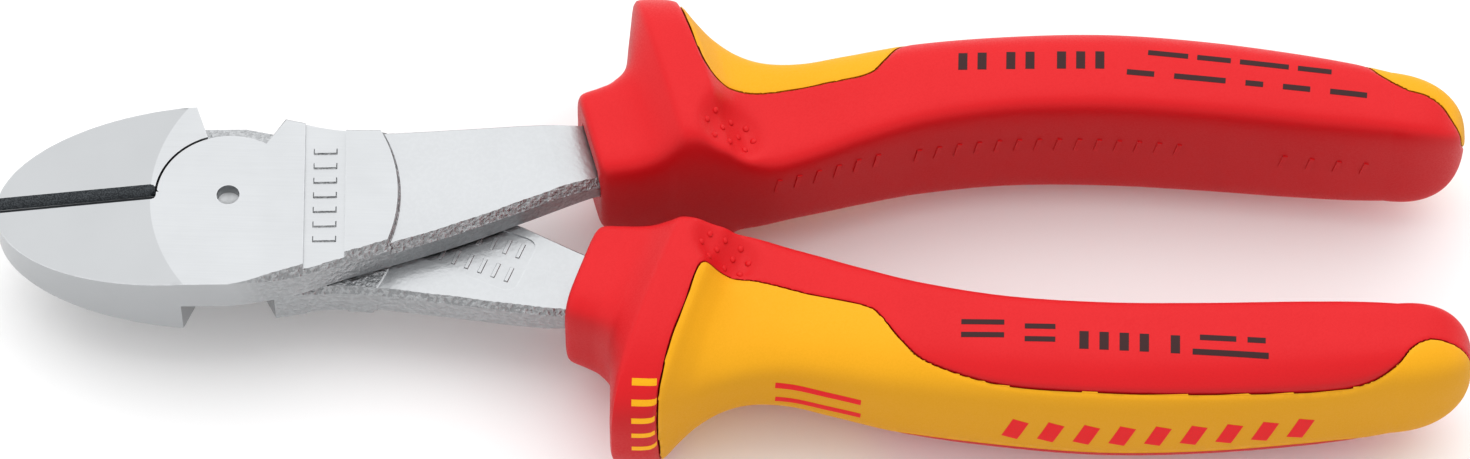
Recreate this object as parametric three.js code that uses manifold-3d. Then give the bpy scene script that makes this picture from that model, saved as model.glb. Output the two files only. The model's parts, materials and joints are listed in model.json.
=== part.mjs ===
// Diagonal cutting pliers with insulated grips.
//
// Two forged steel levers cross at a flat lap joint and turn on one blind axle.
// Each lever carries a grip moulded in three layers: an inner insulating sleeve,
// a tough outer sleeve with a finger guard, and a soft panel on the outer side.
//
// Millimetres, +Z up. The pliers lie flat and closed, jaws towards -X, handles
// towards +X. While modelling, the origin is the joint's centre; the finished
// group is moved so that its origin is the middle of the base.

import * as THREE from 'three';
import { LoftGeometry } from 'three/addons/geometries/LoftGeometry.js';
import { mergeVertices } from 'three/addons/utils/BufferGeometryUtils.js';
import Module from 'manifold-3d';

const wasm = await Module();
wasm.setup();

// ---- driving dimensions -------------------------------------------------------

const HEAD_TURN = THREE.MathUtils.degToRad( 3.2 ); // the jaws' axis against the handles' axis
const HEAD_HALF = 4.8; // half the thickness of the joint
const LAP_CLEARANCE = 0.05; // from the lap plane to each lever's lap face

const JAW_CENTRE_X = - 4; // the jaw outline is a quarter ellipse about this point
const JAW_LENGTH = 24.6;
const JAW_WIDTH = 13.1;
const CUT_LINE_Y = 0.65; // the cutting edges meet beside the joint's centre
const CUT_GAP = 0.05; // from the cutting line to each jaw, closed
const BEVEL_DEPTH = 1.1; // the 45 degree bevels on the front
const EDGE_FLAT = 0.02; // half the width of the gap where bevel and relief meet
const GROOVE_START = - 34; // the space between the jaws, along the jaws' axis
const GROOVE_END = - 8.7;
const BACK_RELIEF = 0.24; // sideways run of the relief behind the edges, per millimetre of depth

const TAPER_RADIUS = 21.5; // the jaws' faces fall away outside this circle
const TAPER_CENTRE_X = 12;
const TAPER_SLOPE = 0.135;

const DISC_RADIUS = 8.73; // round end of each joint plate
const DISC_FROM = Math.PI * 0.985; // from the cutting line
const DISC_TO = THREE.MathUtils.degToRad( 62 ); // to the lever's outer edge
const CUT_START = 0.97; // the jaw's edge starts this far out on the disc's radius
const POCKET_RADIUS = 9.03; // the opposite lever is hollowed to this
const SHOULDER_ANGLE = THREE.MathUtils.degToRad( 110.5 ); // jaw shoulder, from +X round the joint
const PAD_RADIUS = 20.7; // the joint's raised faces end on this arc
const BAND_START = 9.3; // sunken band across the joint face
const BAND_END = 14.3;
const BAND_DEPTH = 0.45;
const NECK_TOP = 4.0; // height of the neck's face just behind the joint
const NECK_TOP_END = 3.6; // and where it enters the grip
const NECK_LAP_END = 37; // the necks stop crossing each other here
const NECK_SLOPE_END = 46; // and have come down to the tang's thickness here

const AXLE_RADIUS = 5.5;
const AXLE_BORE = 5.56;
const AXLE_SINK = 1.5; // depth of the axle's end under the front face
const AXLE_TAIL_RADIUS = 4.0;
const HOLE_RADIUS = 1.4; // centre holes at both ends of the axle
const HOLE_DEPTH = 1.2; // of the one in the tail
const RING_RADIUS = 6.5;
const RING_SEAT = 6.6;
const RING_THICKNESS = 1.15;
const RING_CHAMFER = 0.3;
const RING_CLEARANCE = 0.05; // round the axle's tail, and to the back of the joint
const AXLE_STEP_CLEARANCE = 0.1; // from the ring to the axle's step
const SEAT_CLEARANCE = 0.15; // from the ring to the bottom of its seat

const MOUTH_X = 44.0; // where the steel enters the grip
const NECK_OUTER_AT_MOUTH = 12.9;
const NECK_INNER_AT_MOUTH = 4.0;
const NECK_END = 48.0; // the neck gives way to the tang here
const NECK_INNER_AT_END = 5.2;
const TANG_HALF_THICKNESS = 2.6;
const TANG_END = 124;
const TANG_HALF_WIDTH_AT_NECK = 4.0;
const TANG_HALF_WIDTH = 2.9;
const TANG_TAPER_FROM = 80;
const TANG_TAPER = 0.5; // off each side by the end
const SPINE_INSET = 6; // most that the tang's middle lies behind the grip's inner wall
const SLEEVE_WALL = 1.2; // inner insulating sleeve
const SLEEVE_START = 51;
const SLEEVE_END = 128;
const SLEEVE_ROUNDNESS = 0.5; // 1 is an ellipse, 0 a rectangle
const SLEEVE_POINTS_AROUND = 16;
const PANEL_THICKNESS = 1.5; // soft panel
const STRIP_HALF_WIDTH = 6.6; // its part along the outer side of the handle
const STRIP_START = 70;
const STRIP_END = 148;
const FIT_GAP = 0.15; // between the layers of a grip, and from a grip to the steel

// The grip's outline against x: inner wall, outer side, half height.
// From the collar's mouth over the guard and the thumb hollow to the butt.
const GRIP_KNOTS = [
	[ 43.6, 3.7, 16.0, 6.9 ],
	[ 44.6, 3.5, 16.7, 7.3 ],
	[ 46.7, 3.6, 17.5, 7.6 ],
	[ 48.6, 3.8, 18.4, 8.0 ],
	[ 50.6, 4.1, 20.4, 8.9 ],
	[ 51.9, 4.3, 24.2, 10.0 ],
	[ 53.1, 4.6, 28.4, 11.4 ],
	[ 54.5, 4.8, 30.7, 12.3 ],
	[ 56.7, 5.0, 31.3, 12.5 ],
	[ 58.9, 5.0, 30.9, 12.3 ],
	[ 60.6, 5.0, 29.1, 10.4 ],
	[ 62.4, 4.9, 26.8, 8.3 ],
	[ 64.8, 5.1, 24.7, 7.2 ],
	[ 67.6, 5.9, 23.4, 7.1 ],
	[ 71.5, 7.2, 23.2, 7.5 ],
	[ 76.0, 8.8, 24.1, 8.1 ],
	[ 84.0, 11.2, 25.8, 8.9 ],
	[ 95.0, 13.1, 27.0, 9.4 ],
	[ 107.0, 13.7, 27.6, 9.6 ],
	[ 119.0, 13.3, 27.0, 9.5 ],
	[ 131.0, 12.5, 25.5, 9.2 ],
	[ 140.0, 12.1, 23.7, 8.8 ],
	[ 145.5, 12.3, 22.2, 8.0 ],
	[ 149.6, 13.2, 20.4, 6.2 ],
	[ 151.4, 15.0, 18.5, 3.4 ]
];
const GUARD_LEAN = - 0.3; // the guard leans back towards the inner side
const LEAN_FADES_FROM = 60;
const LEAN_FADES_TO = 100;
const INNER_SQUARENESS = 5; // superellipse powers of the two halves of a grip's section
const OUTER_SQUARENESS = 2.8;
const POINTS_AROUND = 32;
const LEAST_HALF = 0.3; // an inset section never closes up further than this

const CLEAR = 9; // cuts reach this far above and below the head
const FAR_SIDE = 30; // and this far to the sides

// ---- colours ------------------------------------------------------------------

const COLOURS = {
	steel: { color: 0xb9c0c5, roughness: 0.32, metalness: 1.0 },
	axle: { color: 0xa3a9ae, roughness: 0.4, metalness: 1.0 },
	red: { color: 0xd3242b, roughness: 0.45, metalness: 0.0 },
	yellow: { color: 0xf6a81c, roughness: 0.6, metalness: 0.0 },
	insulation: { color: 0xe9b51e, roughness: 0.55, metalness: 0.0 }
};

// ---- solids -------------------------------------------------------------------

function solidFrom( geometry ) {

	const bare = geometry.index ? geometry.toNonIndexed() : geometry.clone();
	bare.deleteAttribute( 'normal' );
	bare.deleteAttribute( 'uv' );
	const merged = mergeVertices( bare, 1e-4 );
	return new wasm.Manifold( new wasm.Mesh( {
		numProp: 3,
		vertProperties: merged.attributes.position.array,
		triVerts: new Uint32Array( merged.index.array )
	} ) );

}

function geometryFrom( solid ) {

	const mesh = solid.getMesh();
	const geometry = new THREE.BufferGeometry();
	geometry.setAttribute( 'position', new THREE.BufferAttribute( mesh.vertProperties, 3 ) );
	geometry.setIndex( new THREE.BufferAttribute( mesh.triVerts, 1 ) );
	const faceted = geometry.toNonIndexed();
	faceted.computeVertexNormals();
	return faceted;

}

// An outline in plan, from z = low to z = high.
function plate( shape, low, high, curveSegments = 12 ) {

	const geometry = new THREE.ExtrudeGeometry( shape, {
		depth: high - low,
		bevelEnabled: false,
		curveSegments
	} );
	geometry.translate( 0, 0, low );
	return solidFrom( geometry );

}

// A side view, given as [ x, z ] corners, from y = low to y = high.
function sideCut( corners, low, high ) {

	const shape = new THREE.Shape( corners.map( ( [ x, z ] ) => new THREE.Vector2( x, z ) ) );
	const geometry = new THREE.ExtrudeGeometry( shape, { depth: high - low, bevelEnabled: false } );
	geometry.rotateX( Math.PI / 2 );
	geometry.translate( 0, high, 0 );
	return solidFrom( geometry );

}

function disc( radius, low, high, segments = 64 ) {

	const geometry = new THREE.CylinderGeometry( radius, radius, high - low, segments );
	geometry.rotateX( Math.PI / 2 );
	geometry.translate( 0, 0, ( low + high ) / 2 );
	return solidFrom( geometry );

}

// Turned about the joint's axis; the profile is a list of [ radius, z ].
function turned( profile, segments = 64 ) {

	const points = profile.map( ( [ radius, z ] ) => new THREE.Vector2( radius, z ) );
	const geometry = new THREE.LatheGeometry( points, segments );
	geometry.rotateX( Math.PI / 2 );
	return solidFrom( geometry );

}

function closedShape( points ) {

	return new THREE.Shape( points.map( ( [ x, y ] ) => new THREE.Vector2( x, y ) ) );

}

// Piecewise smooth value of one column of a knot list at x.
function along( knots, column, x ) {

	const last = knots.length - 1;
	if ( x <= knots[ 0 ][ 0 ] ) return knots[ 0 ][ column ];
	if ( x >= knots[ last ][ 0 ] ) return knots[ last ][ column ];
	let i = 0;
	while ( knots[ i + 1 ][ 0 ] < x ) i ++;
	const run = ( a, b ) => knots[ b ][ 0 ] - knots[ a ][ 0 ];
	const slope = ( a, b ) => ( knots[ b ][ column ] - knots[ a ][ column ] ) / run( a, b );
	const span = run( i, i + 1 );
	const startSlope = slope( Math.max( i - 1, 0 ), i + 1 );
	const endSlope = slope( i, Math.min( i + 2, last ) );
	const t = ( x - knots[ i ][ 0 ] ) / span;
	const t2 = t * t;
	const t3 = t2 * t;
	return ( 2 * t3 - 3 * t2 + 1 ) * knots[ i ][ column ]
		+ ( t3 - 2 * t2 + t ) * span * startSlope
		+ ( 3 * t2 - 2 * t3 ) * knots[ i + 1 ][ column ]
		+ ( t3 - t2 ) * span * endSlope;

}

// ---- the head -----------------------------------------------------------------

// A point of the head, turned with the jaws' axis.
function headPoint( x, y ) {

	return [
		x * Math.cos( HEAD_TURN ) - y * Math.sin( HEAD_TURN ),
		x * Math.sin( HEAD_TURN ) + y * Math.cos( HEAD_TURN )
	];

}

function arcPoints( radius, from, to, steps ) {

	const points = [];
	for ( let i = 0; i <= steps; i ++ ) {

		const angle = from + ( to - from ) * i / steps;
		points.push( [ radius * Math.cos( angle ), radius * Math.sin( angle ) ] );

	}

	return points;

}

// side is +1 for the lever whose joint plate is in front (+Z) and whose handle is
// at +Y, and -1 for the other one, which is the same lever turned over.
function mirrored( points, side ) {

	return points.map( ( [ x, y ] ) => [ x, side * y ] );

}

// The jaw's curved back, from the shoulder to the nose.
function jawBack( side ) {

	const points = [];
	const steps = 16;
	for ( let i = 0; i <= steps; i ++ ) {

		const angle = Math.PI / 2 * i / steps;
		const x = JAW_CENTRE_X - JAW_LENGTH * Math.sin( angle );
		const y = - side * JAW_WIDTH * Math.cos( angle );
		points.push( [ x, y ] );

	}

	points.pop();
	const cutY = CUT_LINE_Y - side * CUT_GAP;
	const noseSine = cutY / JAW_WIDTH;
	points.push( [ JAW_CENTRE_X - JAW_LENGTH * Math.sqrt( 1 - noseSine * noseSine ), cutY ] );
	return points.map( ( [ x, y ] ) => headPoint( x, y ) );

}

// Plan of one lever from its nose to the grip's mouth.
function leverOutline( side ) {

	const plateEdge = mirrored( [
		[ NECK_END, NECK_INNER_AT_END ],
		[ MOUTH_X, NECK_INNER_AT_MOUTH ],
		[ 28.4, - 3.5 ],
		[ 20, - 6.9 ],
		[ 14.8, - 8.9 ],
		[ 9.8, - 10.9 ],
		[ 5, - 12.3 ],
		[ 1, - 13.1 ]
	], side );
	const discTop = arcPoints( DISC_RADIUS, DISC_FROM, DISC_TO, 24 );
	const outerEdge = [
		[ 6.2, 11.6 ],
		[ 8.2, 11.2 ],
		[ 14.5, 10.3 ],
		[ 20.3, 10.6 ],
		[ 30, 11.6 ],
		[ 36, 12.3 ],
		[ MOUTH_X, NECK_OUTER_AT_MOUTH ],
		[ NECK_END, NECK_OUTER_AT_MOUTH ]
	];
	const cutStart = headPoint( - DISC_RADIUS * CUT_START, CUT_LINE_Y - side * CUT_GAP );
	return closedShape( [
		...plateEdge,
		...jawBack( side ),
		cutStart,
		...mirrored( discTop, side ),
		...mirrored( outerEdge, side )
	] );

}

// The space that the opposite joint plate turns in: half the thickness of the joint.
function lapPocket( side ) {

	const low = side > 0 ? - HEAD_HALF - 1 : - LAP_CLEARANCE;
	const high = side > 0 ? LAP_CLEARANCE : HEAD_HALF + 1;
	const shoulder = [
		FAR_SIDE * Math.cos( SHOULDER_ANGLE ),
		- FAR_SIDE * Math.sin( SHOULDER_ANGLE )
	];
	const sector = mirrored( [
		[ 0, 0 ],
		shoulder,
		[ NECK_LAP_END, - FAR_SIDE ],
		[ NECK_LAP_END, FAR_SIDE ],
		[ 0, FAR_SIDE ]
	], side );
	return disc( POCKET_RADIUS, low, high ).add( plate( closedShape( sector ), low, high ) );

}

// Everything above the neck's faces, and beside the lap plane past the crossing.
function neckCuts( side ) {

	const near = PAD_RADIUS / 2; // well inside the raised faces
	const far = 60;
	const above = sideCut( [
		[ near, side * NECK_TOP ],
		[ 30, side * NECK_TOP ],
		[ far, side * NECK_TOP_END ],
		[ far, side * CLEAR ],
		[ near, side * CLEAR ]
	], - FAR_SIDE, FAR_SIDE ).subtract( disc( PAD_RADIUS, - CLEAR, CLEAR ) );
	const below = sideCut( [
		[ NECK_LAP_END - 1, - side * CLEAR ],
		[ NECK_LAP_END - 1, side * LAP_CLEARANCE ],
		[ NECK_LAP_END, side * LAP_CLEARANCE ],
		[ NECK_SLOPE_END, - side * TANG_HALF_THICKNESS ],
		[ far, - side * TANG_HALF_THICKNESS ],
		[ far, - side * CLEAR ]
	], - FAR_SIDE, FAR_SIDE );
	return above.add( below );

}

// The sunken band across the joint's outer face.
function jointBand( side ) {

	const corners = [
		headPoint( BAND_START, - FAR_SIDE ),
		headPoint( BAND_END, - FAR_SIDE ),
		headPoint( BAND_END, FAR_SIDE ),
		headPoint( BAND_START, FAR_SIDE )
	];
	const low = side > 0 ? HEAD_HALF - BAND_DEPTH : - HEAD_HALF - 1;
	const high = side > 0 ? HEAD_HALF + 1 : - HEAD_HALF + BAND_DEPTH;
	return plate( closedShape( corners ), low, high );

}

// The jaws' faces fall away from the joint towards the nose, on a cone.
function jawTaper() {

	const outer = 45;
	const edge = HEAD_HALF - TAPER_SLOPE * ( outer - TAPER_RADIUS );
	const points = [
		[ 0, - HEAD_HALF ],
		[ TAPER_RADIUS, - HEAD_HALF ],
		[ outer, - edge ],
		[ outer, edge ],
		[ TAPER_RADIUS, HEAD_HALF ],
		[ 0, HEAD_HALF ]
	];
	const [ x, y ] = headPoint( TAPER_CENTRE_X, 0 );
	return turned( points, 96 ).translate( [ x, y, 0 ] );

}

// Height of the jaws' face above the lap plane, at a place along the cutting line.
function jawFace( headX ) {

	const radius = TAPER_CENTRE_X - headX;
	return HEAD_HALF - TAPER_SLOPE * Math.max( 0, radius - TAPER_RADIUS );

}

// The space between the two jaws: a 45 degree groove on the front, and a deeper
// and narrower relief from the edges to the back.
function jawGroove() {

	const extra = 1; // past the faces
	const sections = [ GROOVE_START, TAPER_CENTRE_X - TAPER_RADIUS, GROOVE_END ].map( ( x ) => {

		const top = jawFace( x );
		const edge = top - BEVEL_DEPTH;
		const back = - top - extra;
		const wide = BEVEL_DEPTH + extra;
		const backWide = ( edge - back ) * BACK_RELIEF;
		const profile = [
			[ wide, top + extra ],
			[ - wide, top + extra ],
			[ - EDGE_FLAT, edge ],
			[ - backWide, back ],
			[ backWide, back ],
			[ EDGE_FLAT, edge ]
		];
		return profile.map( ( [ y, z ] ) => {

			const [ px, py ] = headPoint( x, CUT_LINE_Y + y );
			return new THREE.Vector3( px, py, z );

		} );

	} );
	return solidFrom( new LoftGeometry( sections, { capStart: true, capEnd: true } ) );

}

// ---- the tang inside the grip -----------------------------------------------------

function spineY( x ) {

	const inner = along( GRIP_KNOTS, 1, x );
	const outer = along( GRIP_KNOTS, 2, x );
	return inner + Math.min( SPINE_INSET, ( outer - inner ) / 2 );

}

// Half the tang's width, narrowing from the neck and again towards its end.
function tangHalfWidth( x ) {

	const narrowing = THREE.MathUtils.smoothstep( x, MOUTH_X + 3, SLEEVE_START );
	const taper = THREE.MathUtils.smoothstep( x, TANG_TAPER_FROM, TANG_END );
	return THREE.MathUtils.lerp( TANG_HALF_WIDTH_AT_NECK, TANG_HALF_WIDTH, narrowing ) - TANG_TAPER * taper;

}

function tangOutline( side, grow ) {

	const near = [];
	const far = [];
	const stations = [ 45, 48, 51, 56, 62, 68, 76, 86, 97, 108, 117, TANG_END + grow ];
	for ( const x of stations ) {

		near.push( [ x, spineY( x ) - tangHalfWidth( x ) - grow ] );
		far.push( [ x, spineY( x ) + tangHalfWidth( x ) + grow ] );

	}

	return closedShape( mirrored( [ ...near, ...far.reverse() ], side ) );

}

function tang( side, grow ) {

	const half = TANG_HALF_THICKNESS + grow;
	return plate( tangOutline( side, grow ), - half, half );

}

function neckInGrip( side, grow ) {

	const corners = mirrored( [
		[ MOUTH_X - 4, NECK_INNER_AT_MOUTH - 2 ],
		[ MOUTH_X, NECK_INNER_AT_MOUTH - grow ],
		[ NECK_END + grow, NECK_INNER_AT_END - grow ],
		[ NECK_END + grow, NECK_OUTER_AT_MOUTH + grow ],
		[ MOUTH_X - 4, NECK_OUTER_AT_MOUTH + grow ]
	], side );
	const low = side > 0 ? - TANG_HALF_THICKNESS - grow : - NECK_TOP - grow;
	const high = side > 0 ? NECK_TOP + grow : TANG_HALF_THICKNESS + grow;
	return plate( closedShape( corners ), low, high );

}

// ---- levers and axle ----------------------------------------------------------------

function lever( side ) {

	const head = plate( leverOutline( side ), - HEAD_HALF, HEAD_HALF )
		.subtract( lapPocket( side ) )
		.subtract( neckCuts( side ) )
		.subtract( jointBand( side ) )
		.subtract( jawGroove() )
		.intersect( jawTaper() );
	return head.add( tang( side, 0 ) );

}

function frontLever() {

	const bore = disc( AXLE_BORE, - CLEAR, HEAD_HALF - AXLE_SINK + LAP_CLEARANCE );
	const hole = disc( HOLE_RADIUS, 0, CLEAR, 32 );
	return lever( 1 ).subtract( bore ).subtract( hole );

}

function rearLever() {

	const seat = disc( RING_SEAT, - CLEAR, - HEAD_HALF + RING_THICKNESS + SEAT_CLEARANCE );
	return lever( - 1 ).subtract( disc( AXLE_BORE, - CLEAR, CLEAR ) ).subtract( seat );

}

// Blind axle: its front end shows through the small hole in the front plate, and
// its tail holds the ring in the back.
function axle() {

	const front = HEAD_HALF - AXLE_SINK;
	const step = - HEAD_HALF + RING_THICKNESS + AXLE_STEP_CLEARANCE;
	return turned( [
		[ 0, - HEAD_HALF + HOLE_DEPTH ],
		[ HOLE_RADIUS, - HEAD_HALF + HOLE_DEPTH ],
		[ HOLE_RADIUS, - HEAD_HALF ],
		[ AXLE_TAIL_RADIUS, - HEAD_HALF ],
		[ AXLE_TAIL_RADIUS, step ],
		[ AXLE_RADIUS, step ],
		[ AXLE_RADIUS, front ],
		[ 0, front ]
	] );

}

function axleRing() {

	const bore = AXLE_TAIL_RADIUS + RING_CLEARANCE;
	const low = - HEAD_HALF + RING_CLEARANCE;
	const high = - HEAD_HALF + RING_THICKNESS;
	return turned( [
		[ bore, low ],
		[ RING_RADIUS - RING_CHAMFER, low ],
		[ RING_RADIUS, low + RING_CHAMFER ],
		[ RING_RADIUS, high ],
		[ bore, high ],
		[ bore, low ]
	] );

}

// ---- grips ------------------------------------------------------------------------------

// One rounded section: a square inner half and a rounder outer half about the spine.
function gripSection( x, inset ) {

	const spine = spineY( x );
	const inner = Math.max( spine - along( GRIP_KNOTS, 1, x ) - inset, LEAST_HALF );
	const outer = Math.max( along( GRIP_KNOTS, 2, x ) - spine - inset, LEAST_HALF );
	const height = Math.max( along( GRIP_KNOTS, 3, x ) - inset, LEAST_HALF );
	const lean = GUARD_LEAN * ( 1 - THREE.MathUtils.smoothstep( x, LEAN_FADES_FROM, LEAN_FADES_TO ) );
	const points = [];
	for ( let i = 0; i < POINTS_AROUND; i ++ ) {

		const angle = 2 * Math.PI * i / POINTS_AROUND;
		const c = Math.cos( angle );
		const s = Math.sin( angle );
		const power = 2 / ( c > 0 ? OUTER_SQUARENESS : INNER_SQUARENESS );
		const reach = c > 0 ? outer : inner;
		const y = Math.sign( c ) * reach * Math.abs( c ) ** power;
		const z = Math.sign( s ) * height * Math.abs( s ) ** power;
		points.push( new THREE.Vector3( x + lean * y, spine + y, z ) );

	}

	return points;

}

function gripBody( inset ) {

	const sections = GRIP_KNOTS.map( ( [ x ] ) => gripSection( x, inset ) );
	return solidFrom( new LoftGeometry( sections, { capStart: true, capEnd: true } ) );

}

// Where the soft panel lies: over the guard's back and the outer half of the
// handle, along the outer side as a strip, and round the outer half of the butt.
// It reaches further in on the face that is turned down in the front grip.
function panelRegion( gap ) {

	const reach = 34;
	const facingUp = closedShape( [
		[ 52.5 + gap, reach ],
		[ 56.6 + gap, 20.5 ],
		[ 59.4 + gap, 15.8 + gap ],
		[ 66, 16.2 + gap ],
		[ 77.4 - gap, 18.4 + gap ],
		[ 79.6 - gap, 20.8 ],
		[ 82.5 - gap, reach ]
	] );
	const facingDown = closedShape( [
		[ 52.5 + gap, reach ],
		[ 54.2 + gap, 26.8 ],
		[ 57.6 + gap, 14.2 ],
		[ 59.2 + gap, 11.9 + gap ],
		[ 63, 11.6 + gap ],
		[ 72, 13.9 + gap ],
		[ 78.4 - gap, 15.8 + gap ],
		[ 82.5 - gap, 20.5 ],
		[ 86 - gap, reach ]
	] );
	const butt = closedShape( [
		[ 139 + gap, reach ],
		[ 141.6 + gap, 20.6 ],
		[ 144.6 + gap, 18.2 + gap ],
		[ 148.6, 17 + gap ],
		[ 156, 14 + gap ],
		[ 156, reach ]
	] );
	const half = STRIP_HALF_WIDTH - gap;
	const strip = sideCut( [
		[ STRIP_START, - half ],
		[ STRIP_END, - half ],
		[ STRIP_END, half ],
		[ STRIP_START, half ]
	], 18, reach );
	return plate( facingUp, 0, 14 )
		.add( plate( facingDown, - 14, 0 ) )
		.add( plate( butt, - 10, 10 ) )
		.add( strip );

}

function softPanel() {

	return gripBody( 0 ).intersect( panelRegion( FIT_GAP ) ).subtract( gripBody( PANEL_THICKNESS ) );

}

// The tube round the tang, its wall measured out from the tang.
function sleeveBody( start, end, wall ) {

	const stations = [ start, 57, 63, 69, 77, 87, 98, 108, 119, end ];
	const sections = stations.map( ( x ) => {

		const halfWidth = tangHalfWidth( x ) + wall;
		const halfHeight = TANG_HALF_THICKNESS + wall;
		const points = [];
		for ( let i = 0; i < SLEEVE_POINTS_AROUND; i ++ ) {

			const angle = 2 * Math.PI * i / SLEEVE_POINTS_AROUND;
			const c = Math.cos( angle );
			const s = Math.sin( angle );
			const y = Math.sign( c ) * halfWidth * Math.abs( c ) ** SLEEVE_ROUNDNESS;
			const z = Math.sign( s ) * halfHeight * Math.abs( s ) ** SLEEVE_ROUNDNESS;
			points.push( new THREE.Vector3( x, spineY( x ) + y, z ) );

		}

		return points;

	} );
	return solidFrom( new LoftGeometry( sections, { capStart: true, capEnd: true } ) );

}

function innerSleeve() {

	const bore = tang( 1, FIT_GAP );
	return sleeveBody( SLEEVE_START, SLEEVE_END, SLEEVE_WALL ).subtract( bore );

}

function outerSleeve() {

	const panelBed = panelRegion( 0 ).subtract( gripBody( PANEL_THICKNESS + FIT_GAP ) );
	return gripBody( 0 )
		.subtract( panelBed )
		.subtract( sleeveBody( SLEEVE_START - FIT_GAP, SLEEVE_END + FIT_GAP, SLEEVE_WALL + FIT_GAP ) )
		.subtract( tang( 1, FIT_GAP ) )
		.subtract( neckInGrip( 1, FIT_GAP ) );

}

// ---- the assembly -------------------------------------------------------------------------

function named( name, solid, finish ) {

	const mesh = new THREE.Mesh( geometryFrom( solid ), new THREE.MeshStandardMaterial( finish ) );
	mesh.name = name;
	return mesh;

}

// The three layers of a grip, as they lie on the front lever.
function grip( prefix ) {

	const layers = new THREE.Group();
	layers.add( named( `${ prefix }_inner_sleeve`, innerSleeve(), COLOURS.insulation ) );
	layers.add( named( `${ prefix }_outer_sleeve`, outerSleeve(), COLOURS.red ) );
	layers.add( named( `${ prefix }_soft_panel`, softPanel(), COLOURS.yellow ) );
	return layers;

}

const tool = new THREE.Group();
tool.add( named( 'front_lever', frontLever(), COLOURS.steel ) );
tool.add( named( 'rear_lever', rearLever(), COLOURS.steel ) );
tool.add( named( 'joint_axle', axle(), COLOURS.axle ) );
tool.add( named( 'axle_ring', axleRing(), COLOURS.axle ) );
tool.add( grip( 'front_grip' ) );

const rearGrip = grip( 'rear_grip' );
rearGrip.rotation.x = Math.PI; // the same moulding, turned over
tool.add( rearGrip );

const box = new THREE.Box3().setFromObject( tool, true );
const centre = box.getCenter( new THREE.Vector3() );
tool.position.set( - centre.x, - centre.y, - box.min.z );

const pliers = new THREE.Group();
pliers.add( tool );

export default pliers;
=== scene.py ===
"""Diagonal cutting pliers with insulated grips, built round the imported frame.

Shapes are worked out in millimetres from the joint's centre, for a lever whose
joint plate is in front (+Z) and whose handle is at +Y. The rear lever and its
grip are the same pieces turned over about X.
"""

import json
import math

import bmesh
import bpy
import numpy as np
from bpy.props import FloatProperty, FloatVectorProperty, PointerProperty
from mathutils import Matrix, Vector


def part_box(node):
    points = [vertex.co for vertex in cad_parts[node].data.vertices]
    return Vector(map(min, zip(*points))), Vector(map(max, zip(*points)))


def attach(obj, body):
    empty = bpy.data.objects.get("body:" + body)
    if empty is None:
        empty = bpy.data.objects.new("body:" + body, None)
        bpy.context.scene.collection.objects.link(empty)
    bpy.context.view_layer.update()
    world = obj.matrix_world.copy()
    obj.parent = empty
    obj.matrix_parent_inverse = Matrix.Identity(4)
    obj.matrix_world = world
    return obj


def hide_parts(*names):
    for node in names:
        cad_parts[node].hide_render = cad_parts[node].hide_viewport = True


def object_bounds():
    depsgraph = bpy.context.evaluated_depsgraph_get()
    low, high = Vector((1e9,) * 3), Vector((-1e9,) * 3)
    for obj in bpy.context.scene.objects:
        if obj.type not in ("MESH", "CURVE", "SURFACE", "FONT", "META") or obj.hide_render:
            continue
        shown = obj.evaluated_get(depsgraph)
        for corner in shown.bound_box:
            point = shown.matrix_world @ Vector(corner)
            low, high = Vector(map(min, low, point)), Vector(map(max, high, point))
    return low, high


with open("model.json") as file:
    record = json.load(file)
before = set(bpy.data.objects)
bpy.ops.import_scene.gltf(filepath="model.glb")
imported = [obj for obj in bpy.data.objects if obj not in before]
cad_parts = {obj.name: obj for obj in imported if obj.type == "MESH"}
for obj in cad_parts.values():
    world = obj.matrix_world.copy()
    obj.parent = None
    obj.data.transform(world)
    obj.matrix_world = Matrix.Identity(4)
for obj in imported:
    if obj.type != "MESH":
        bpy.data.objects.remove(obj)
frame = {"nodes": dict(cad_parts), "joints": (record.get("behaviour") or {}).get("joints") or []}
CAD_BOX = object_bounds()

bl_info = {
    "name": "Diagonal cutting pliers",
    "version": (1, 0, 0),
    "blender": (4, 5, 0),
    "location": "View3D > Sidebar > Pliers",
    "description": "Builds insulated diagonal cutting pliers round their packed frame",
    "category": "Add Mesh",
}

MM = 0.001
PIVOT = Vector(frame["joints"][0]["pos_m"])
FRONT = 1
REAR = -1
BODY_OF_SIDE = {FRONT: "front_half", REAR: "rear_half"}
WORD_OF_SIDE = {FRONT: "front", REAR: "rear"}

# ---- the levers ---------------------------------------------------------------

HEAD_HALF = (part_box("front_lever")[1].z - PIVOT.z) / MM  # half the thickness of the joint
LAP_CLEARANCE = 0.05
FAR = 60.0  # beyond every edge of the head
CLEAR = 9.0  # above and below every face of the levers
LEVEL_FACE = 0.97  # a face counts as level where its normal.z is above this
FOLD_ANGLE = math.radians(3)
WELD = 2e-3
FLAT_ANGLE = math.radians(0.06)
BEVEL_ANGLE = math.radians(38)
HEAD_TURN = math.radians(3.2)  # the jaws' axis against the handles' axis
JAW_CENTRE_X = -4.0
CUT_LINE_Y = 0.65  # the cutting edges meet beside the joint's centre
CUT_GAP = 0.03
BACK_RELIEF = 0.24  # sideways run of the relief behind the edges, per millimetre of depth
GROOVE_START = -34.0
GROOVE_END = -8.8
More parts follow.
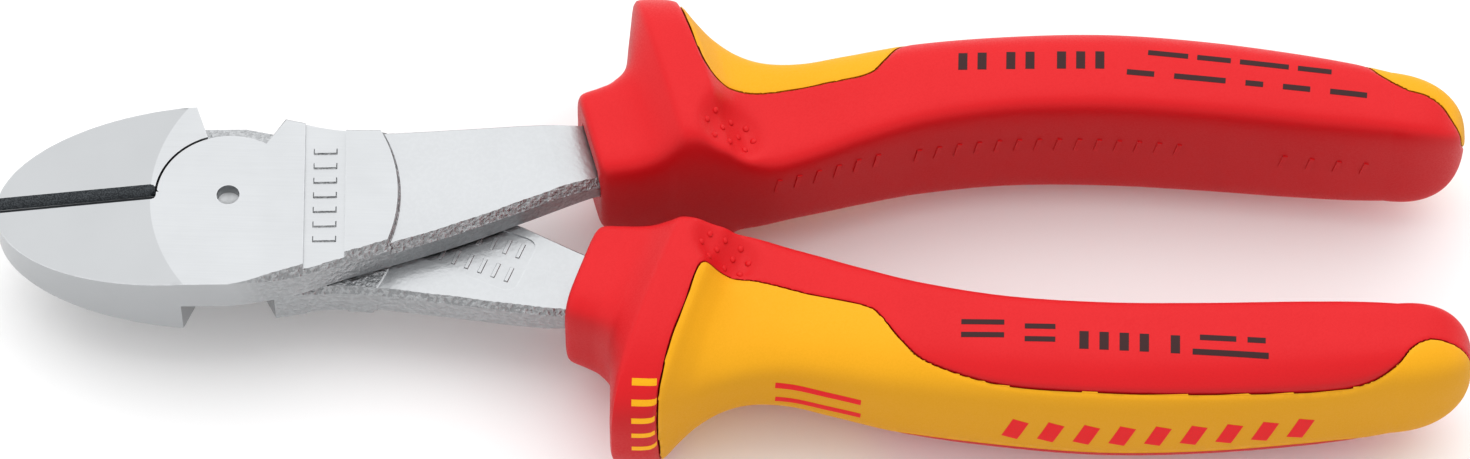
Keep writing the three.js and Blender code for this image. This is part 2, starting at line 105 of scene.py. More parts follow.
# How the groove runs out: distance back from its end, share of its full width
GROOVE_RUN_OUT = ((0.7, 1.0), (0.35, 0.9), (0.12, 0.7), (0.0, 0.4))
TAPER_RADIUS = 21.5  # the jaws' faces fall away outside this circle
TAPER_CENTRE_X = 12.0
TAPER_SLOPE = 0.135
TAPER_REACH = 45.0
PLAN_END = 26.0  # the joint plate's plan is drawn up to here, then cut back to its raised face
DISC_RADIUS = 8.73
DISC_FROM = math.pi * 0.985
DISC_TO = math.radians(62)
EDGE_MEETS_DISC = -0.97 * DISC_RADIUS
POCKET_RADIUS = 9.03
SHOULDER_ANGLE = math.radians(110.5)
PAD_RADIUS = 20.7  # the joint's raised face ends on this arc
PAD_FALL = ((0.0, 4.55), (0.1, 4.25), (0.3, 4.03), (0.65, 3.92))  # distance past the arc, height
PAD_SWEEP = 1.3  # the arc's reach to each side, in radians
BAND_START = 9.3  # sunken band across the joint's face
BAND_END = 14.3
NECK_TOP = 4.0
NECK_TOP_END = 3.6
NECK_TOP_FALLS = (30.0, 60.0)
NECK_LAP_END = 45.5
NECK_DROP_END = 47.0
NECK_INSIDE = (20.0, 21.0)  # up to here the neck lies inside the joint plate, by a hair
HAIR = 0.03
NECK_END = 48.0
TANG_HALF = 2.6  # half its thickness
TANG_START = 45.0
TANG_END = 124.0
TANG_WIDTH = 4.0  # half its width at the neck
TANG_CORNER = 0.5
AXLE_RADIUS = 5.5
AXLE_BORE = 5.56
AXLE_SINK = 1.5
AXLE_TAIL_RADIUS = 4.0
AXLE_CENTRE_DEPTH = 1.2
RING_RADIUS = 6.5
RING_SEAT = 6.6
RING_THICKNESS = 1.15
PLATE_CORNERS = ((22.5, 4.6), (25.2, -2.2), (38.0, 2.3), (35.2, 9.9))  # sunken plate in the lap face
PLATE_ROUND = 1.7
PLATE_DEPTH = 0.22

INNER_EDGE = [
    (1, -13.1), (5, -12.3), (9.8, -10.9), (14.8, -8.9), (20, -6.9),
    (28.4, -3.5), (36.4, 0.3), (44, 4.0), (NECK_END, 5.2),
]
OUTER_EDGE = [
    (6.2, 11.6), (8.2, 11.2), (11, 10.6), (14.5, 10.3), (20.3, 10.6),
    (30, 11.6), (36, 12.3), (44, 12.9), (NECK_END, 12.9),
]

# ---- the grips ------------------------------------------------------------------

# x, inner wall, outer side, half height: from the collar over the guard to the butt
GRIP_KNOTS = np.array([
    (43.6, 3.7, 16.0, 6.9), (44.6, 3.5, 16.7, 7.3), (46.7, 3.6, 17.5, 7.6),
    (48.6, 3.8, 18.4, 8.0), (50.6, 4.1, 20.4, 8.9), (51.9, 4.3, 24.2, 10.0),
    (53.1, 4.6, 28.0, 11.3), (53.9, 4.7, 30.4, 12.1), (54.5, 4.8, 31.02, 12.38), (56.7, 5.0, 31.2, 12.46),
    (58.8, 5.0, 31.02, 12.38), (59.5, 5.0, 30.4, 11.9), (60.6, 5.0, 28.9, 10.3), (62.4, 4.9, 26.8, 8.3),
    (64.8, 5.1, 24.7, 7.2), (67.6, 5.9, 23.4, 7.1), (71.5, 7.2, 23.2, 7.5),
    (76.0, 8.8, 24.1, 8.1), (84.0, 11.2, 25.8, 8.9), (95.0, 13.1, 27.0, 9.4),
    (107.0, 13.7, 27.6, 9.6), (119.0, 13.3, 27.0, 9.5), (131.0, 12.5, 25.5, 9.2),
    (140.0, 12.1, 23.7, 8.8), (145.5, 12.3, 22.2, 8.0), (149.6, 13.2, 20.4, 6.2),
    (151.4, 15.0, 18.5, 3.4),
])
GRIP_START = GRIP_KNOTS[0, 0]
GRIP_END = GRIP_KNOTS[-1, 0]
BUTT_START = 142.0  # the butt rounds off from here
BUTT_POWER = 2.35
RIM_ROUND = 0.7  # the collar's rounded rim
GUARD_LEAN = -0.3
LEAN_FADES = (60.0, 100.0)
SPINE_INSET = 6.0
OUTER_SQUARENESS = 2.8
COLLAR_SQUARENESS = 4.2
COLLAR_FADES = (49.0, 55.0)
DISH_CENTRE = (61.2, 8.6)
DISH_SIZE = (3.4, 3.9)
AROUND = 216
AROUND_HIDDEN = 72
STATION_STEP = 0.36
SLEEVE_WALL = 1.2
SLEEVE_START = 51.0
SLEEVE_END = 128.0
TANG_NARROWING = ((47.0, SLEEVE_START, 1.1), (80.0, TANG_END, 0.5))  # from, to, by how much
PANEL_THICKNESS = 1.5
FIT_GAP = 0.15
SEAM_WIDTH = 0.5
REGION_MIDDLE = 2.5  # the panel's edge changes from one face's curve to the other's within this
REGION_REACH = 40.0
REGION_END = 158.0
REGION_HALF = 15.0

# Edge of the soft panel in plan, on the face turned up and on the face turned down
PANEL_EDGE_UP = [
    (53.4, REGION_REACH), (53.9, 30), (54.6, 26), (56, 21.5), (57.5, 17.5), (59.4, 15.7),
    (62.1, 15.7), (66.8, 16.3), (72, 17.3), (77.5, 18.5), (79.6, 20.8), (81.6, 23.9),
    (85, 25.3), (95, 26.4), (107, 27), (119, 26.4), (131, 24.9), (138, 23.1),
    (140.5, 20.4), (143.7, 18.3), (146.1, 17.8), (148.1, 16.9), (149.6, 15.4), (152, 13.5),
]
PANEL_EDGE_DOWN = [
    (53.4, REGION_REACH), (53.7, 30), (54.2, 26.8), (55.2, 22.6), (56.6, 18.4), (58.2, 12.9),
    (61.1, 11.6), (66, 12), (72, 13.9), (78.2, 15.7), (80.1, 17.3), (82.5, 20.5),
    (86, 23.3), (94.6, 25.5), (107, 26.2), (119, 25.8), (131.3, 24.6), (138, 23.3),
    (141.6, 21.5), (143.6, 19.3), (145.6, 18), (147.5, 17.7), (149.6, 17.6), (152, 17.6),
]


# ---- properties -------------------------------------------------------------------

def length(name, description, default_mm):
    return FloatProperty(
        name=name, description=description, default=default_mm * MM, min=0.0,
        precision=5, subtype="DISTANCE", unit="LENGTH",
    )


def colour(name, description, default):
    return FloatVectorProperty(
        name=name, description=description, default=default, size=3,
        min=0.0, max=1.0, subtype="COLOR",
    )


class PliersHead(bpy.types.PropertyGroup):
    """Sizes of the levers and their joint"""

    jaw_length: length("Jaw length", "From the jaw's centre to the nose", 24.59)
    jaw_width: length("Jaw width", "From the jaw's centre to its back", 13.1)
    groove_depth: length("Groove depth", "Depth of the bevels along the cutting edges", 1.1)
    chamfer: length("Forged chamfer", "Width of the rough chamfer along the necks", 1.0)
    band_depth: length("Band depth", "How far the band lies under the joint's face", 0.45)
    hole_radius: length("Hole radius", "Small hole over the axle's end", 1.4)
    edge_round: length("Edge rounding", "Small rounding of the ground edges", 0.09)
    mark_raise: length("Raised bars", "Height of the raised bars on the steel", 0.22)


class PliersGrip(bpy.types.PropertyGroup):
    """Sizes of the moulded grips"""

    ridge: FloatProperty(
        name="Ridge sharpness", description="Squareness of the inner half of the section",
        default=6.0, min=2.0, max=12.0,
    )
    dish: FloatProperty(
        name="Thumb hollow", description="How far the faces sink behind the guard",
        default=0.22, min=0.0, max=0.4, subtype="FACTOR",
    )
    seam: length("Seam depth", "Depth of the seam between red and yellow", 0.16)
    pip_radius: length("Pip radius", "Radius of the pips in the thumb hollow", 0.42)
    pip_height: length("Pip height", "Height of the pips in the thumb hollow", 0.24)
    print_thickness: length("Print thickness", "Thickness of the printed bars", 0.03)
    moulded_mark: length("Moulded bars", "Height of the bars on the inner walls", 0.15)


class PliersFinish(bpy.types.PropertyGroup):
    """Colours of the finishes"""

    steel: colour("Steel", "Satin plated steel", (0.415, 0.426, 0.437))
    # The cutting bevels' near-black colour is painted shade, standing in for the shade and dark reflection
    # on these bevels.
    groove: colour("Cutting bevels", "Dark ground bevels of the cutting edges", (0.05, 0.055, 0.06))
    axle: colour("Axle", "Turned steel", (0.42, 0.43, 0.44))
    red: colour("Red layer", "Tough red layer of the grips", (0.64, 0.006, 0.010))
    yellow: colour("Yellow layer", "Soft yellow layer of the grips", (0.82, 0.375, 0.005))
    insulation: colour("Insulation", "Inner insulating layer", (0.80, 0.46, 0.012))
    ink: colour("Dark print", "Printed bars on the red layer", (0.035, 0.012, 0.013))
    floor: colour("Floor", "Plain pale floor", (0.93, 0.93, 0.93))


# ---- numbers and curves -------------------------------------------------------------

def blend_step(low, high, value):
    t = np.clip((np.asarray(value, float) - low) / (high - low), 0.0, 1.0)
    return t * t * (3 - 2 * t)


def smooth_curve(points, step=None, each=None):
    """A Catmull-Rom curve, with points about a step apart or the same number to each stretch."""
    p = np.array(points, float)
    p = np.vstack([2 * p[0] - p[1], p, 2 * p[-1] - p[-2]])
    stretches = []
    for a, b, c, d in zip(p, p[1:], p[2:], p[3:]):
        count = each or max(1, round(float(np.linalg.norm(c - b)) / step))
        t = (np.arange(count) / count)[:, None]
        curve = 2 * b + (c - a) * t + (2 * a - 5 * b + 4 * c - d) * t**2
        stretches.append(0.5 * (curve + (3 * b - a - 3 * c + d) * t**3))
    return np.vstack([*stretches, p[-2:-1]])


def arc(radius, start, end, steps):
    angle = np.linspace(start, end, steps + 1)
    return np.column_stack([radius * np.cos(angle), radius * np.sin(angle)])


def circle(radius, segments):
    return arc(radius, 0, 2 * math.pi, segments)[:-1]


def rounded(corners, radius, steps=8):
    """A convex outline with round corners."""
    points = np.array(corners, float)
    outline = []
    for before, corner, after in zip(np.roll(points, 1, axis=0), points, np.roll(points, -1, axis=0)):
        start = corner + (before - corner) / np.linalg.norm(before - corner) * radius
        end = corner + (after - corner) / np.linalg.norm(after - corner) * radius
        for t in np.linspace(0, 1, steps):
            outline.append((1 - t) ** 2 * start + 2 * t * (1 - t) * corner + t**2 * end)
    return anticlockwise(np.array(outline))


def at_height(points, z):
    points = np.asarray(points, float)[:, :2]
    return np.column_stack([points, np.broadcast_to(z, len(points))])


def anticlockwise(points):
    x, y = points[:, 0], points[:, 1]
    area = np.sum(x * np.roll(y, -1) - np.roll(x, -1) * y)
    return points if area > 0 else points[::-1]


def inset(outline, amount):
    """An anticlockwise outline moved inwards, by one amount or by one for each point."""
    before = outline - np.roll(outline, 1, axis=0)
    after = np.roll(outline, -1, axis=0) - outline
    before /= np.linalg.norm(before, axis=1)[:, None]
    after /= np.linalg.norm(after, axis=1)[:, None]
    first = np.column_stack([-before[:, 1], before[:, 0]])
    second = np.column_stack([-after[:, 1], after[:, 0]])
    opening = np.maximum(1 + np.sum(first * second, axis=1), 0.5)
    return outline + (first + second) / opening[:, None] * np.reshape(amount, (-1, 1))


def knot_curve(x, column):
    """Smooth values of one column of the grip's knots."""
    at, value = GRIP_KNOTS[:, 0], GRIP_KNOTS[:, column]
    x = np.clip(np.asarray(x, float), at[0], at[-1])
    slope = np.empty(len(at))
    slope[1:-1] = (value[2:] - value[:-2]) / (at[2:] - at[:-2])
    slope[0] = (value[1] - value[0]) / (at[1] - at[0])
    slope[-1] = (value[-1] - value[-2]) / (at[-1] - at[-2])
    i = np.clip(np.searchsorted(at, x) - 1, 0, len(at) - 2)
    span = at[i + 1] - at[i]
    t = (x - at[i]) / span
    return (
        (2 * t**3 - 3 * t**2 + 1) * value[i] + (t**3 - 2 * t**2 + t) * span * slope[i]
        + (3 * t**2 - 2 * t**3) * value[i + 1] + (t**3 - t**2) * span * slope[i + 1]
    )


# ---- solids -----------------------------------------------------------------------------

def solid(name, rings, joined_ends=False):
    """A closed solid through rings of points that all go round the same way."""
    rings = np.asarray(rings, float)
    count, around = rings.shape[:2]
    near = np.arange(around)
    far = (near + 1) % around
    faces = []
    for r in range(count if joined_ends else count - 1):
        here, there = r * around, (r + 1) % count * around
        faces += np.column_stack([here + near, here + far, there + far, there + near]).tolist()
    if not joined_ends:
        faces.append(near[::-1].tolist())
        faces.append((near + (count - 1) * around).tolist())
    mesh = bpy.data.meshes.new(name)
    mesh.from_pydata(rings.reshape(-1, 3).tolist(), [], faces)
    shape = bmesh.new()
    shape.from_mesh(mesh)
    bmesh.ops.remove_doubles(shape, verts=shape.verts, dist=1e-5)
    if shape.calc_volume(signed=True) < 0:
        bmesh.ops.reverse_faces(shape, faces=shape.faces)
    shape.to_mesh(mesh)
    shape.free()
    piece = bpy.data.objects.new(name, mesh)
    bpy.context.scene.collection.objects.link(piece)
    return piece


def slab(outline, low, high):
    return solid("slab", [at_height(outline, low), at_height(outline, high)])


def drum(radius, low, high, segments=144):
    return slab(circle(radius, segments), low, high)


def turned(name, profile, segments=144, joined_ends=False):
    """A solid of revolution about the joint's axis; the profile is (radius, z)."""
    return solid(name, [at_height(circle(r, segments), z) for r, z in profile], joined_ends)


def freeze(piece):
    """Turns a piece and its modifiers into a plain mesh."""
    evaluated = piece.evaluated_get(bpy.context.evaluated_depsgraph_get())
    mesh = bpy.data.meshes.new_from_object(evaluated)
    piece.modifiers.clear()
    old = piece.data
    piece.data = mesh
    mesh.name = piece.name
    bpy.data.meshes.remove(old)
    return piece


def combine(piece, other, operation):
    modifier = piece.modifiers.new(operation, "BOOLEAN")
    modifier.operation = operation
    modifier.solver = "MANIFOLD"
    modifier.object = other
    freeze(piece)
    if not piece.data.polygons:
        raise RuntimeError(f"{piece.name} is empty after {operation} with {other.name}")
    bpy.data.objects.remove(other)
    return piece


def cut(piece, *others):
    for other in others:
        combine(piece, other, "DIFFERENCE")
    return piece


def join(piece, *others):
    for other in others:
        combine(piece, other, "UNION")
    return piece


def keep_inside(piece, other):
    return combine(piece, other, "INTERSECT")


def turn_over(piece, side):
    """Half a turn about X for the rear side; nothing for the front one."""
    piece.data.transform(Matrix.Diagonal((1, side, side, 1)))
    return piece


def place(piece, side):
    """From millimetres about the joint to metres in the frame."""
    turn_over(piece, side)
    piece.data.transform(Matrix.Translation(PIVOT) @ Matrix.Scale(MM, 4))
    return piece


def finish_piece(piece, name, side, materials, crease=32, replaces=(), weighted=False):
    piece.name = name
    piece.data.name = name
    piece.data.materials.clear()
    for material in materials:
        piece.data.materials.append(material)
    piece.data.shade_smooth()
    piece.data.set_sharp_from_angle(angle=math.radians(crease))
    if weighted:
        keep_folds(piece)
        modifier = piece.modifiers.new("flat faces first", "WEIGHTED_NORMAL")
        modifier.keep_sharp = True
        freeze(piece)
    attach(piece, BODY_OF_SIDE[side])
    if replaces:
        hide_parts(*replaces)
    return piece


def keep_folds(piece):
    """Keeps the slight fold between a jaw's face and the joint's face crisp."""
    shape = bmesh.new()
    shape.from_mesh(piece.data)
    for edge in shape.edges:
        faces = edge.link_faces
        level = len(faces) == 2 and all(abs(face.normal.z) > LEVEL_FACE for face in faces)
        if level and edge.calc_face_angle() > FOLD_ANGLE:
            edge.smooth = False
    shape.to_mesh(piece.data)
    shape.free()


def tidy_flats(piece, width):
    """Joins flat faces, then rounds the sharp edges by a small width."""
    shape = bmesh.new()
    shape.from_mesh(piece.data)
    bmesh.ops.remove_doubles(shape, verts=shape.verts, dist=WELD)
    bmesh.ops.dissolve_limit(
        shape, angle_limit=FLAT_ANGLE, verts=shape.verts, edges=shape.edges,
        delimit={"NORMAL"},
    )
    shape.to_mesh(piece.data)
    shape.free()
    bevel = piece.modifiers.new("edges", "BEVEL")
    bevel.width = width
    bevel.segments = 2
    bevel.limit_method = "ANGLE"
    bevel.angle_limit = BEVEL_ANGLE
    bevel.use_clamp_overlap = True
    return freeze(piece)


# ---- the levers' shapes ---------------------------------------------------------------------

def head_point(x, y, side):
    """A point given along the jaws' axis, in the lever's own frame."""
    turn = side * HEAD_TURN
    return (x * math.cos(turn) - y * math.sin(turn), x * math.sin(turn) + y * math.cos(turn))


def rough_edge(x):
    """Slight waviness of the forged chamfers, in millimetres."""
    return 0.05 * np.sin(5.1 * x) + 0.04 * np.sin(11.7 * x + 1.0)


def chamfers(x, width, outer):
    """Chamfer on the outer face and on the lap face, along one edge of a lever."""
    if outer:
        return 0.2 + 0 * x, (0.75 + rough_edge(x)) * blend_step(7, 12, x)
    growth = 1 + 0.5 * blend_step(38, 47, x)
    return (width * growth + rough_edge(x)) * blend_step(0.5, 9, x), 0.3 * blend_step(8, 14, x)


def lever_outline(side, head):
    """Plan of a lever's head: x, y and the two chamfers."""
    width = head.chamfer / MM
    inner = smooth_curve(INNER_EDGE, step=0.5)
    inner = inner[inner[:, 0] < PLAN_END][::-1]
    outer = smooth_curve(OUTER_EDGE, step=0.5)
    outer = outer[outer[:, 0] < PLAN_END]
    angle = np.linspace(0, math.pi / 2, 71)[:-1]
    cut_y = side * CUT_LINE_Y - CUT_GAP
    nose = math.sqrt(1 - (cut_y / (head.jaw_width / MM)) ** 2)
    back_x = JAW_CENTRE_X - head.jaw_length / MM * np.append(np.sin(angle), nose)
    back_y = np.append(-head.jaw_width / MM * np.cos(angle), cut_y)
    jaw = np.array([head_point(x, y, side) for x, y in zip(back_x, back_y)])
    cut_start = head_point(EDGE_MEETS_DISC, cut_y, side)
    disc = arc(DISC_RADIUS, DISC_FROM, DISC_TO, 64)
    plain = np.vstack([jaw, [cut_start], disc])
    return np.vstack([
        np.column_stack([inner, *chamfers(inner[:, 0], width, False)]),
        np.column_stack([plain, np.zeros((len(plain), 2))]),
        np.column_stack([outer, *chamfers(outer[:, 0], width, True)]),
    ])


def joint_plate(side, head):
    """The half of the head in front of the lap, with its chamfered edges."""
    rows = anticlockwise(lever_outline(side, head))
    outline, top, low = rows[:, :2], rows[:, 2], rows[:, 3]
    plate = solid("plate", [
        at_height(inset(outline, low), LAP_CLEARANCE),
        at_height(outline, LAP_CLEARANCE + low),
        at_height(outline, HEAD_HALF - top),
        at_height(inset(outline, top), HEAD_HALF),
    ])
    fall = [(PAD_RADIUS + past, z) for past, z in PAD_FALL]
    profile = ((PAD_RADIUS, CLEAR), *fall, (fall[-1][0], -CLEAR), (FAR, -CLEAR), (FAR, CLEAR))
    sweep = np.linspace(-PAD_SWEEP, PAD_SWEEP, 80)
    beyond = solid("beyond", [
        [(r * math.cos(a), r * math.sin(a), z) for r, z in profile] for a in sweep
    ])
    return cut(plate, beyond)


def jaw_block(side, head):
    """The part of the jaw that goes through the full thickness."""
    block = slab(anticlockwise(lever_outline(side, head)[:, :2]), -HEAD_HALF, 1.0)
    sector = anticlockwise(np.array([
        (0, 0), (FAR * math.cos(SHOULDER_ANGLE), -FAR * math.sin(SHOULDER_ANGLE)),
        (FAR, -FAR), (FAR, FAR), (0, FAR),
    ]))
    return cut(block, drum(POCKET_RADIUS, -CLEAR, CLEAR), slab(sector, -CLEAR, CLEAR))


def edge_at(points, x):
    curve = smooth_curve(points, step=0.5)
    return np.interp(x, curve[:, 0], curve[:, 1])


def neck(head, grow=0.0, start=9.0):
    """The neck from the joint into the grip, or the hollow for it."""
    x = np.append(np.arange(start, NECK_END, 0.5), NECK_END + grow)
    hair = HAIR * (1 - blend_step(*NECK_INSIDE, x))
    inner = edge_at(INNER_EDGE, x) - grow + hair
    outer = edge_at(OUTER_EDGE, x) + grow - hair
    top = np.interp(x, NECK_TOP_FALLS, (NECK_TOP, NECK_TOP_END)) + grow
    low = np.interp(x, (NECK_LAP_END, NECK_DROP_END), (LAP_CLEARANCE, -TANG_HALF)) - grow + hair
    top_in, low_in = chamfers(x, head.chamfer / MM, False)
    top_out, low_out = chamfers(x, head.chamfer / MM, True)
    corners = (
        (inner, low + low_in), (inner + low_in, low), (outer - low_out, low), (outer, low + low_out),
        (outer, top - top_out), (outer - top_out, top), (inner + top_in, top), (inner, top - top_in),
    )
    rings = np.array([np.column_stack([x, y, z]) for y, z in corners]).transpose(1, 0, 2)
    return solid("neck", rings)


def spine_at(x):
    inner, outer = knot_curve(x, 1), knot_curve(x, 2)
    return inner + np.minimum(SPINE_INSET, (outer - inner) / 2)


def tang(grow=0.0, wall=0.0, start=TANG_START, end=TANG_END):
    """The steel core inside the grip, or with a wall the layer moulded round it."""
    x = np.append(np.arange(start, end, 1.5), end + grow)
    narrower = sum(amount * blend_step(low, high, x) for low, high, amount in TANG_NARROWING)
    width = TANG_WIDTH - narrower + grow + wall
    height = TANG_HALF + grow + wall
    corner = TANG_CORNER + 0.6 * wall
    spine = spine_at(x)
    sides = (
        (-1, -1, 0, corner), (-1, -1, corner, 0), (1, -1, -corner, 0), (1, -1, 0, corner),
        (1, 1, 0, -corner), (1, 1, -corner, 0), (-1, 1, corner, 0), (-1, 1, 0, -corner),
    )
    rings = [
        np.column_stack([x, spine + sy * width + dy, np.full(len(x), sz * height + dz)])
        for sy, sz, dy, dz in sides
    ]
    return solid("tang", np.array(rings).transpose(1, 0, 2))


def jaw_groove(side, head):
    """The V between the jaws on the front and the relief behind the cutting edges."""
    depth = head.groove_depth / MM
    stations = (
        (GROOVE_START, 1.0), (TAPER_CENTRE_X - TAPER_RADIUS, 1.0),
        *((GROOVE_END - back, share) for back, share in GROOVE_RUN_OUT),
    )
    rings = []
    for x, share in stations:
        face = HEAD_HALF - TAPER_SLOPE * max(0.0, TAPER_CENTRE_X - x - TAPER_RADIUS)
        edge = face - depth
        back = -face - 1
        wide = (depth + 1) * share
        relief = (edge - back) * BACK_RELIEF * share
        profile = (
            (wide, face + 1), (-wide, face + 1), (-0.02, edge),
            (-relief, back), (relief, back), (0.02, edge),
        )
        rings.append([(*head_point(x, CUT_LINE_Y + y, FRONT), z) for y, z in profile])
    return turn_over(solid("groove", rings), side)


def jaw_taper(side):
    """The jaws' faces fall away from the joint towards the nose, on a cone."""
    edge = HEAD_HALF - TAPER_SLOPE * (TAPER_REACH - TAPER_RADIUS)
    face = HEAD_HALF + 0.002
    cone = turned("taper", [
        (TAPER_RADIUS, -face), (TAPER_REACH, -edge), (TAPER_REACH, edge), (TAPER_RADIUS, face),
    ], segments=240)
    cone.data.transform(Matrix.Translation((*head_point(TAPER_CENTRE_X, 0, side), 0)))
    return cone


def joint_band(side, head):
    corners = [(BAND_START, -16), (BAND_END, -16), (BAND_END, 16), (BAND_START, 16)]
    outline = anticlockwise(np.array([head_point(x, y, side) for x, y in corners]))
    return slab(outline, HEAD_HALF - head.band_depth / MM, HEAD_HALF + 2)


def lever_solid(side, head):
    lever = join(joint_plate(side, head), neck(head), jaw_block(side, head))
    plate = slab(rounded(PLATE_CORNERS, PLATE_ROUND), -3, LAP_CLEARANCE + PLATE_DEPTH)
    cut(lever, jaw_groove(side, head), joint_band(side, head), plate)
    keep_inside(lever, jaw_taper(side))
    if side == FRONT:
        cut(lever, drum(AXLE_BORE, -CLEAR, HEAD_HALF - AXLE_SINK + LAP_CLEARANCE))
        cut(lever, drum(head.hole_radius / MM, 0, CLEAR, segments=64))
    else:
        cut(lever, drum(AXLE_BORE, -CLEAR, CLEAR))
        cut(lever, drum(RING_SEAT, HEAD_HALF - RING_THICKNESS - FIT_GAP, CLEAR))
    join(lever, tang())
    return tidy_flats(lever, head.edge_round / MM)


def mark_groove_faces(lever):
    """Gives the dark second material to the bevels beside the cutting line of a placed lever."""
    for face in lever.data.polygons:
        x, y, z = (face.center - PIVOT) / MM
        along = x * math.cos(HEAD_TURN) + y * math.sin(HEAD_TURN)
        across = y * math.cos(HEAD_TURN) - x * math.sin(HEAD_TURN) - CUT_LINE_Y
        tilted = 0.3 < face.normal.z < 0.95 and abs(face.normal.x) < 0.5
        if tilted and z > 0 and abs(across) < 1.3 and along < GROOVE_END + 0.3:
            face.material_index = 1


# ---- the grips' shapes -------------------------------------------------------------------------

def grip_sizes(x):
    """Spine, inner reach, outer reach and half height of the grip at each x."""
    inner, outer, height = (knot_curve(x, column) for column in (1, 2, 3))
    half = (outer - inner) / 2
    middle = (outer + inner) / 2
    butt = np.clip((x - BUTT_START) / (GRIP_END + 0.05 - BUTT_START), 0, 1)
    share = (1 - butt**BUTT_POWER) ** (1 / BUTT_POWER)
    start = np.array([BUTT_START])
    start_half = (knot_curve(start, 2) - knot_curve(start, 1)) / 2
    at_butt = x > BUTT_START
    half = np.where(at_butt, start_half * share, half)
    height = np.where(at_butt, knot_curve(start, 3) * share, height)
    spine = middle - half + np.minimum(SPINE_INSET, half)
    return spine, spine - (middle - half), middle + half - spine, height


def grip_stations():
    rim = RIM_ROUND * (1 - np.cos(np.linspace(0, math.pi / 2, 6)))
    middle = np.arange(GRIP_START + 0.9, BUTT_START, STATION_STEP)
    turn = np.linspace(0, math.radians(88), 46)
    butt = BUTT_START + (GRIP_END - BUTT_START) * np.sin(turn)
    return np.concatenate([GRIP_START + rim, middle, butt])


def grip_body(grip, depth=0.0, around=AROUND):
    """The outer shape of a grip, or that shape less a wall of the given depth."""
    stations = grip_stations()
    spine, inner, outer, height = grip_sizes(stations)
    rim = np.clip((GRIP_START + RIM_ROUND - stations) / RIM_ROUND, 0, 1)
    less = depth + RIM_ROUND * (1 - np.sqrt(1 - rim**2))
    inner, outer, height = (np.maximum(size - less, 0.25) for size in (inner, outer, height))
    lean = GUARD_LEAN * (1 - blend_step(*LEAN_FADES, stations))
    squareness = COLLAR_SQUARENESS + (OUTER_SQUARENESS - COLLAR_SQUARENESS) * blend_step(
        *COLLAR_FADES, stations)
    angle = np.linspace(0, 2 * math.pi, 1441)
    c, s = np.cos(angle), np.sin(angle)
    rings = []
    for i, x in enumerate(stations):
        power = 2 / np.where(c > 0, squareness[i], grip.ridge)
        y = np.sign(c) * np.where(c > 0, outer[i], inner[i]) * np.abs(c) ** power
        z = np.sign(s) * height[i] * np.abs(s) ** power
        walked = np.insert(np.cumsum(np.hypot(np.diff(y), np.diff(z))), 0, 0)
        stops = np.linspace(0, walked[-1], around + 1)[:-1]
        y, z = np.interp(stops, walked, y), np.interp(stops, walked, z)
        px, py = x + lean[i] * y, spine[i] + y
        hollow = ((px - DISH_CENTRE[0]) / DISH_SIZE[0]) ** 2 + ((py - DISH_CENTRE[1]) / DISH_SIZE[1]) ** 2
        rings.append(np.column_stack([px, py, z * (1 - grip.dish * np.exp(-hollow**2))]))
    return solid("grip", rings)


def panel_edges():
    return smooth_curve(PANEL_EDGE_UP, each=8), smooth_curve(PANEL_EDGE_DOWN, each=8)


def panel_region(gap):
    """The space of the soft panel: its plan edge differs between the two faces."""
    rings = []
    up, down = panel_edges()
    heights = (-REGION_HALF, -REGION_MIDDLE, REGION_MIDDLE, REGION_HALF)
    for edge, z in zip((down, down, up, up), heights):
        outline = np.vstack([edge, [(REGION_END, edge[-1, 1]), (REGION_END, REGION_REACH)]])
        rings.append(at_height(inset(anticlockwise(outline), gap), z))
    return solid("region", rings)


def edge_distance(points):
    """How far each point lies from the panel's edge, in plan."""
    up, down = panel_edges()
    share = np.clip(points[:, 2] / (2 * REGION_MIDDLE) + 0.5, 0, 1)
    distance = np.empty(len(points))
    for first in range(0, len(points), 2000):
        part = slice(first, first + 2000)
        weight = share[part, None, None]
        curve = down[None] * (1 - weight) + up[None] * weight
        here = points[part, None, :2]
        start, run = curve[:, :-1], np.diff(curve, axis=1)
        t = np.clip(np.sum((here - start) * run, axis=2) / np.sum(run**2, axis=2), 0, 1)
        nearest = here - start - run * t[:, :, None]
        distance[part] = np.sqrt(np.min(np.sum(nearest**2, axis=2), axis=1))
    return distance


def press_seam(piece, depth):
    """Lowers the surface a little towards the panel's edge, on both sides of it."""
    mesh = piece.data
    count = len(mesh.vertices)
    co, normals = np.empty(count * 3), np.empty(count * 3)
    mesh.vertices.foreach_get("co", co)
    mesh.vertex_normals.foreach_get("vector", normals)
    co, normals = co.reshape(-1, 3), normals.reshape(-1, 3)
    share = np.clip(1 - edge_distance(co) / SEAM_WIDTH, 0, 1)
    co -= normals * (depth * share**2)[:, None]
    mesh.vertices.foreach_set("co", co.ravel())
    mesh.update()


def grip_layers(grip, head):
    """The red sleeve and the yellow panel of one grip, as they lie on the front lever."""
    sleeve = grip_body(grip)
    panel = bpy.data.objects.new("panel", sleeve.data.copy())
    bpy.context.scene.collection.objects.link(panel)
    bed = cut(panel_region(0.0), grip_body(grip, PANEL_THICKNESS + FIT_GAP, around=AROUND_HIDDEN))
    cut(sleeve, bed, neck(head, grow=FIT_GAP, start=40.0))
    hollow = tang(FIT_GAP, SLEEVE_WALL, start=SLEEVE_START - FIT_GAP, end=SLEEVE_END)
    cut(sleeve, join(hollow, tang(FIT_GAP)))
    keep_inside(panel, panel_region(0.04))
    cut(panel, grip_body(grip, PANEL_THICKNESS, around=AROUND_HIDDEN))
    for layer in (sleeve, panel):
        press_seam(layer, grip.seam / MM)
    return sleeve, panel


# ---- node trees ----------------------------------------------------------------------------------

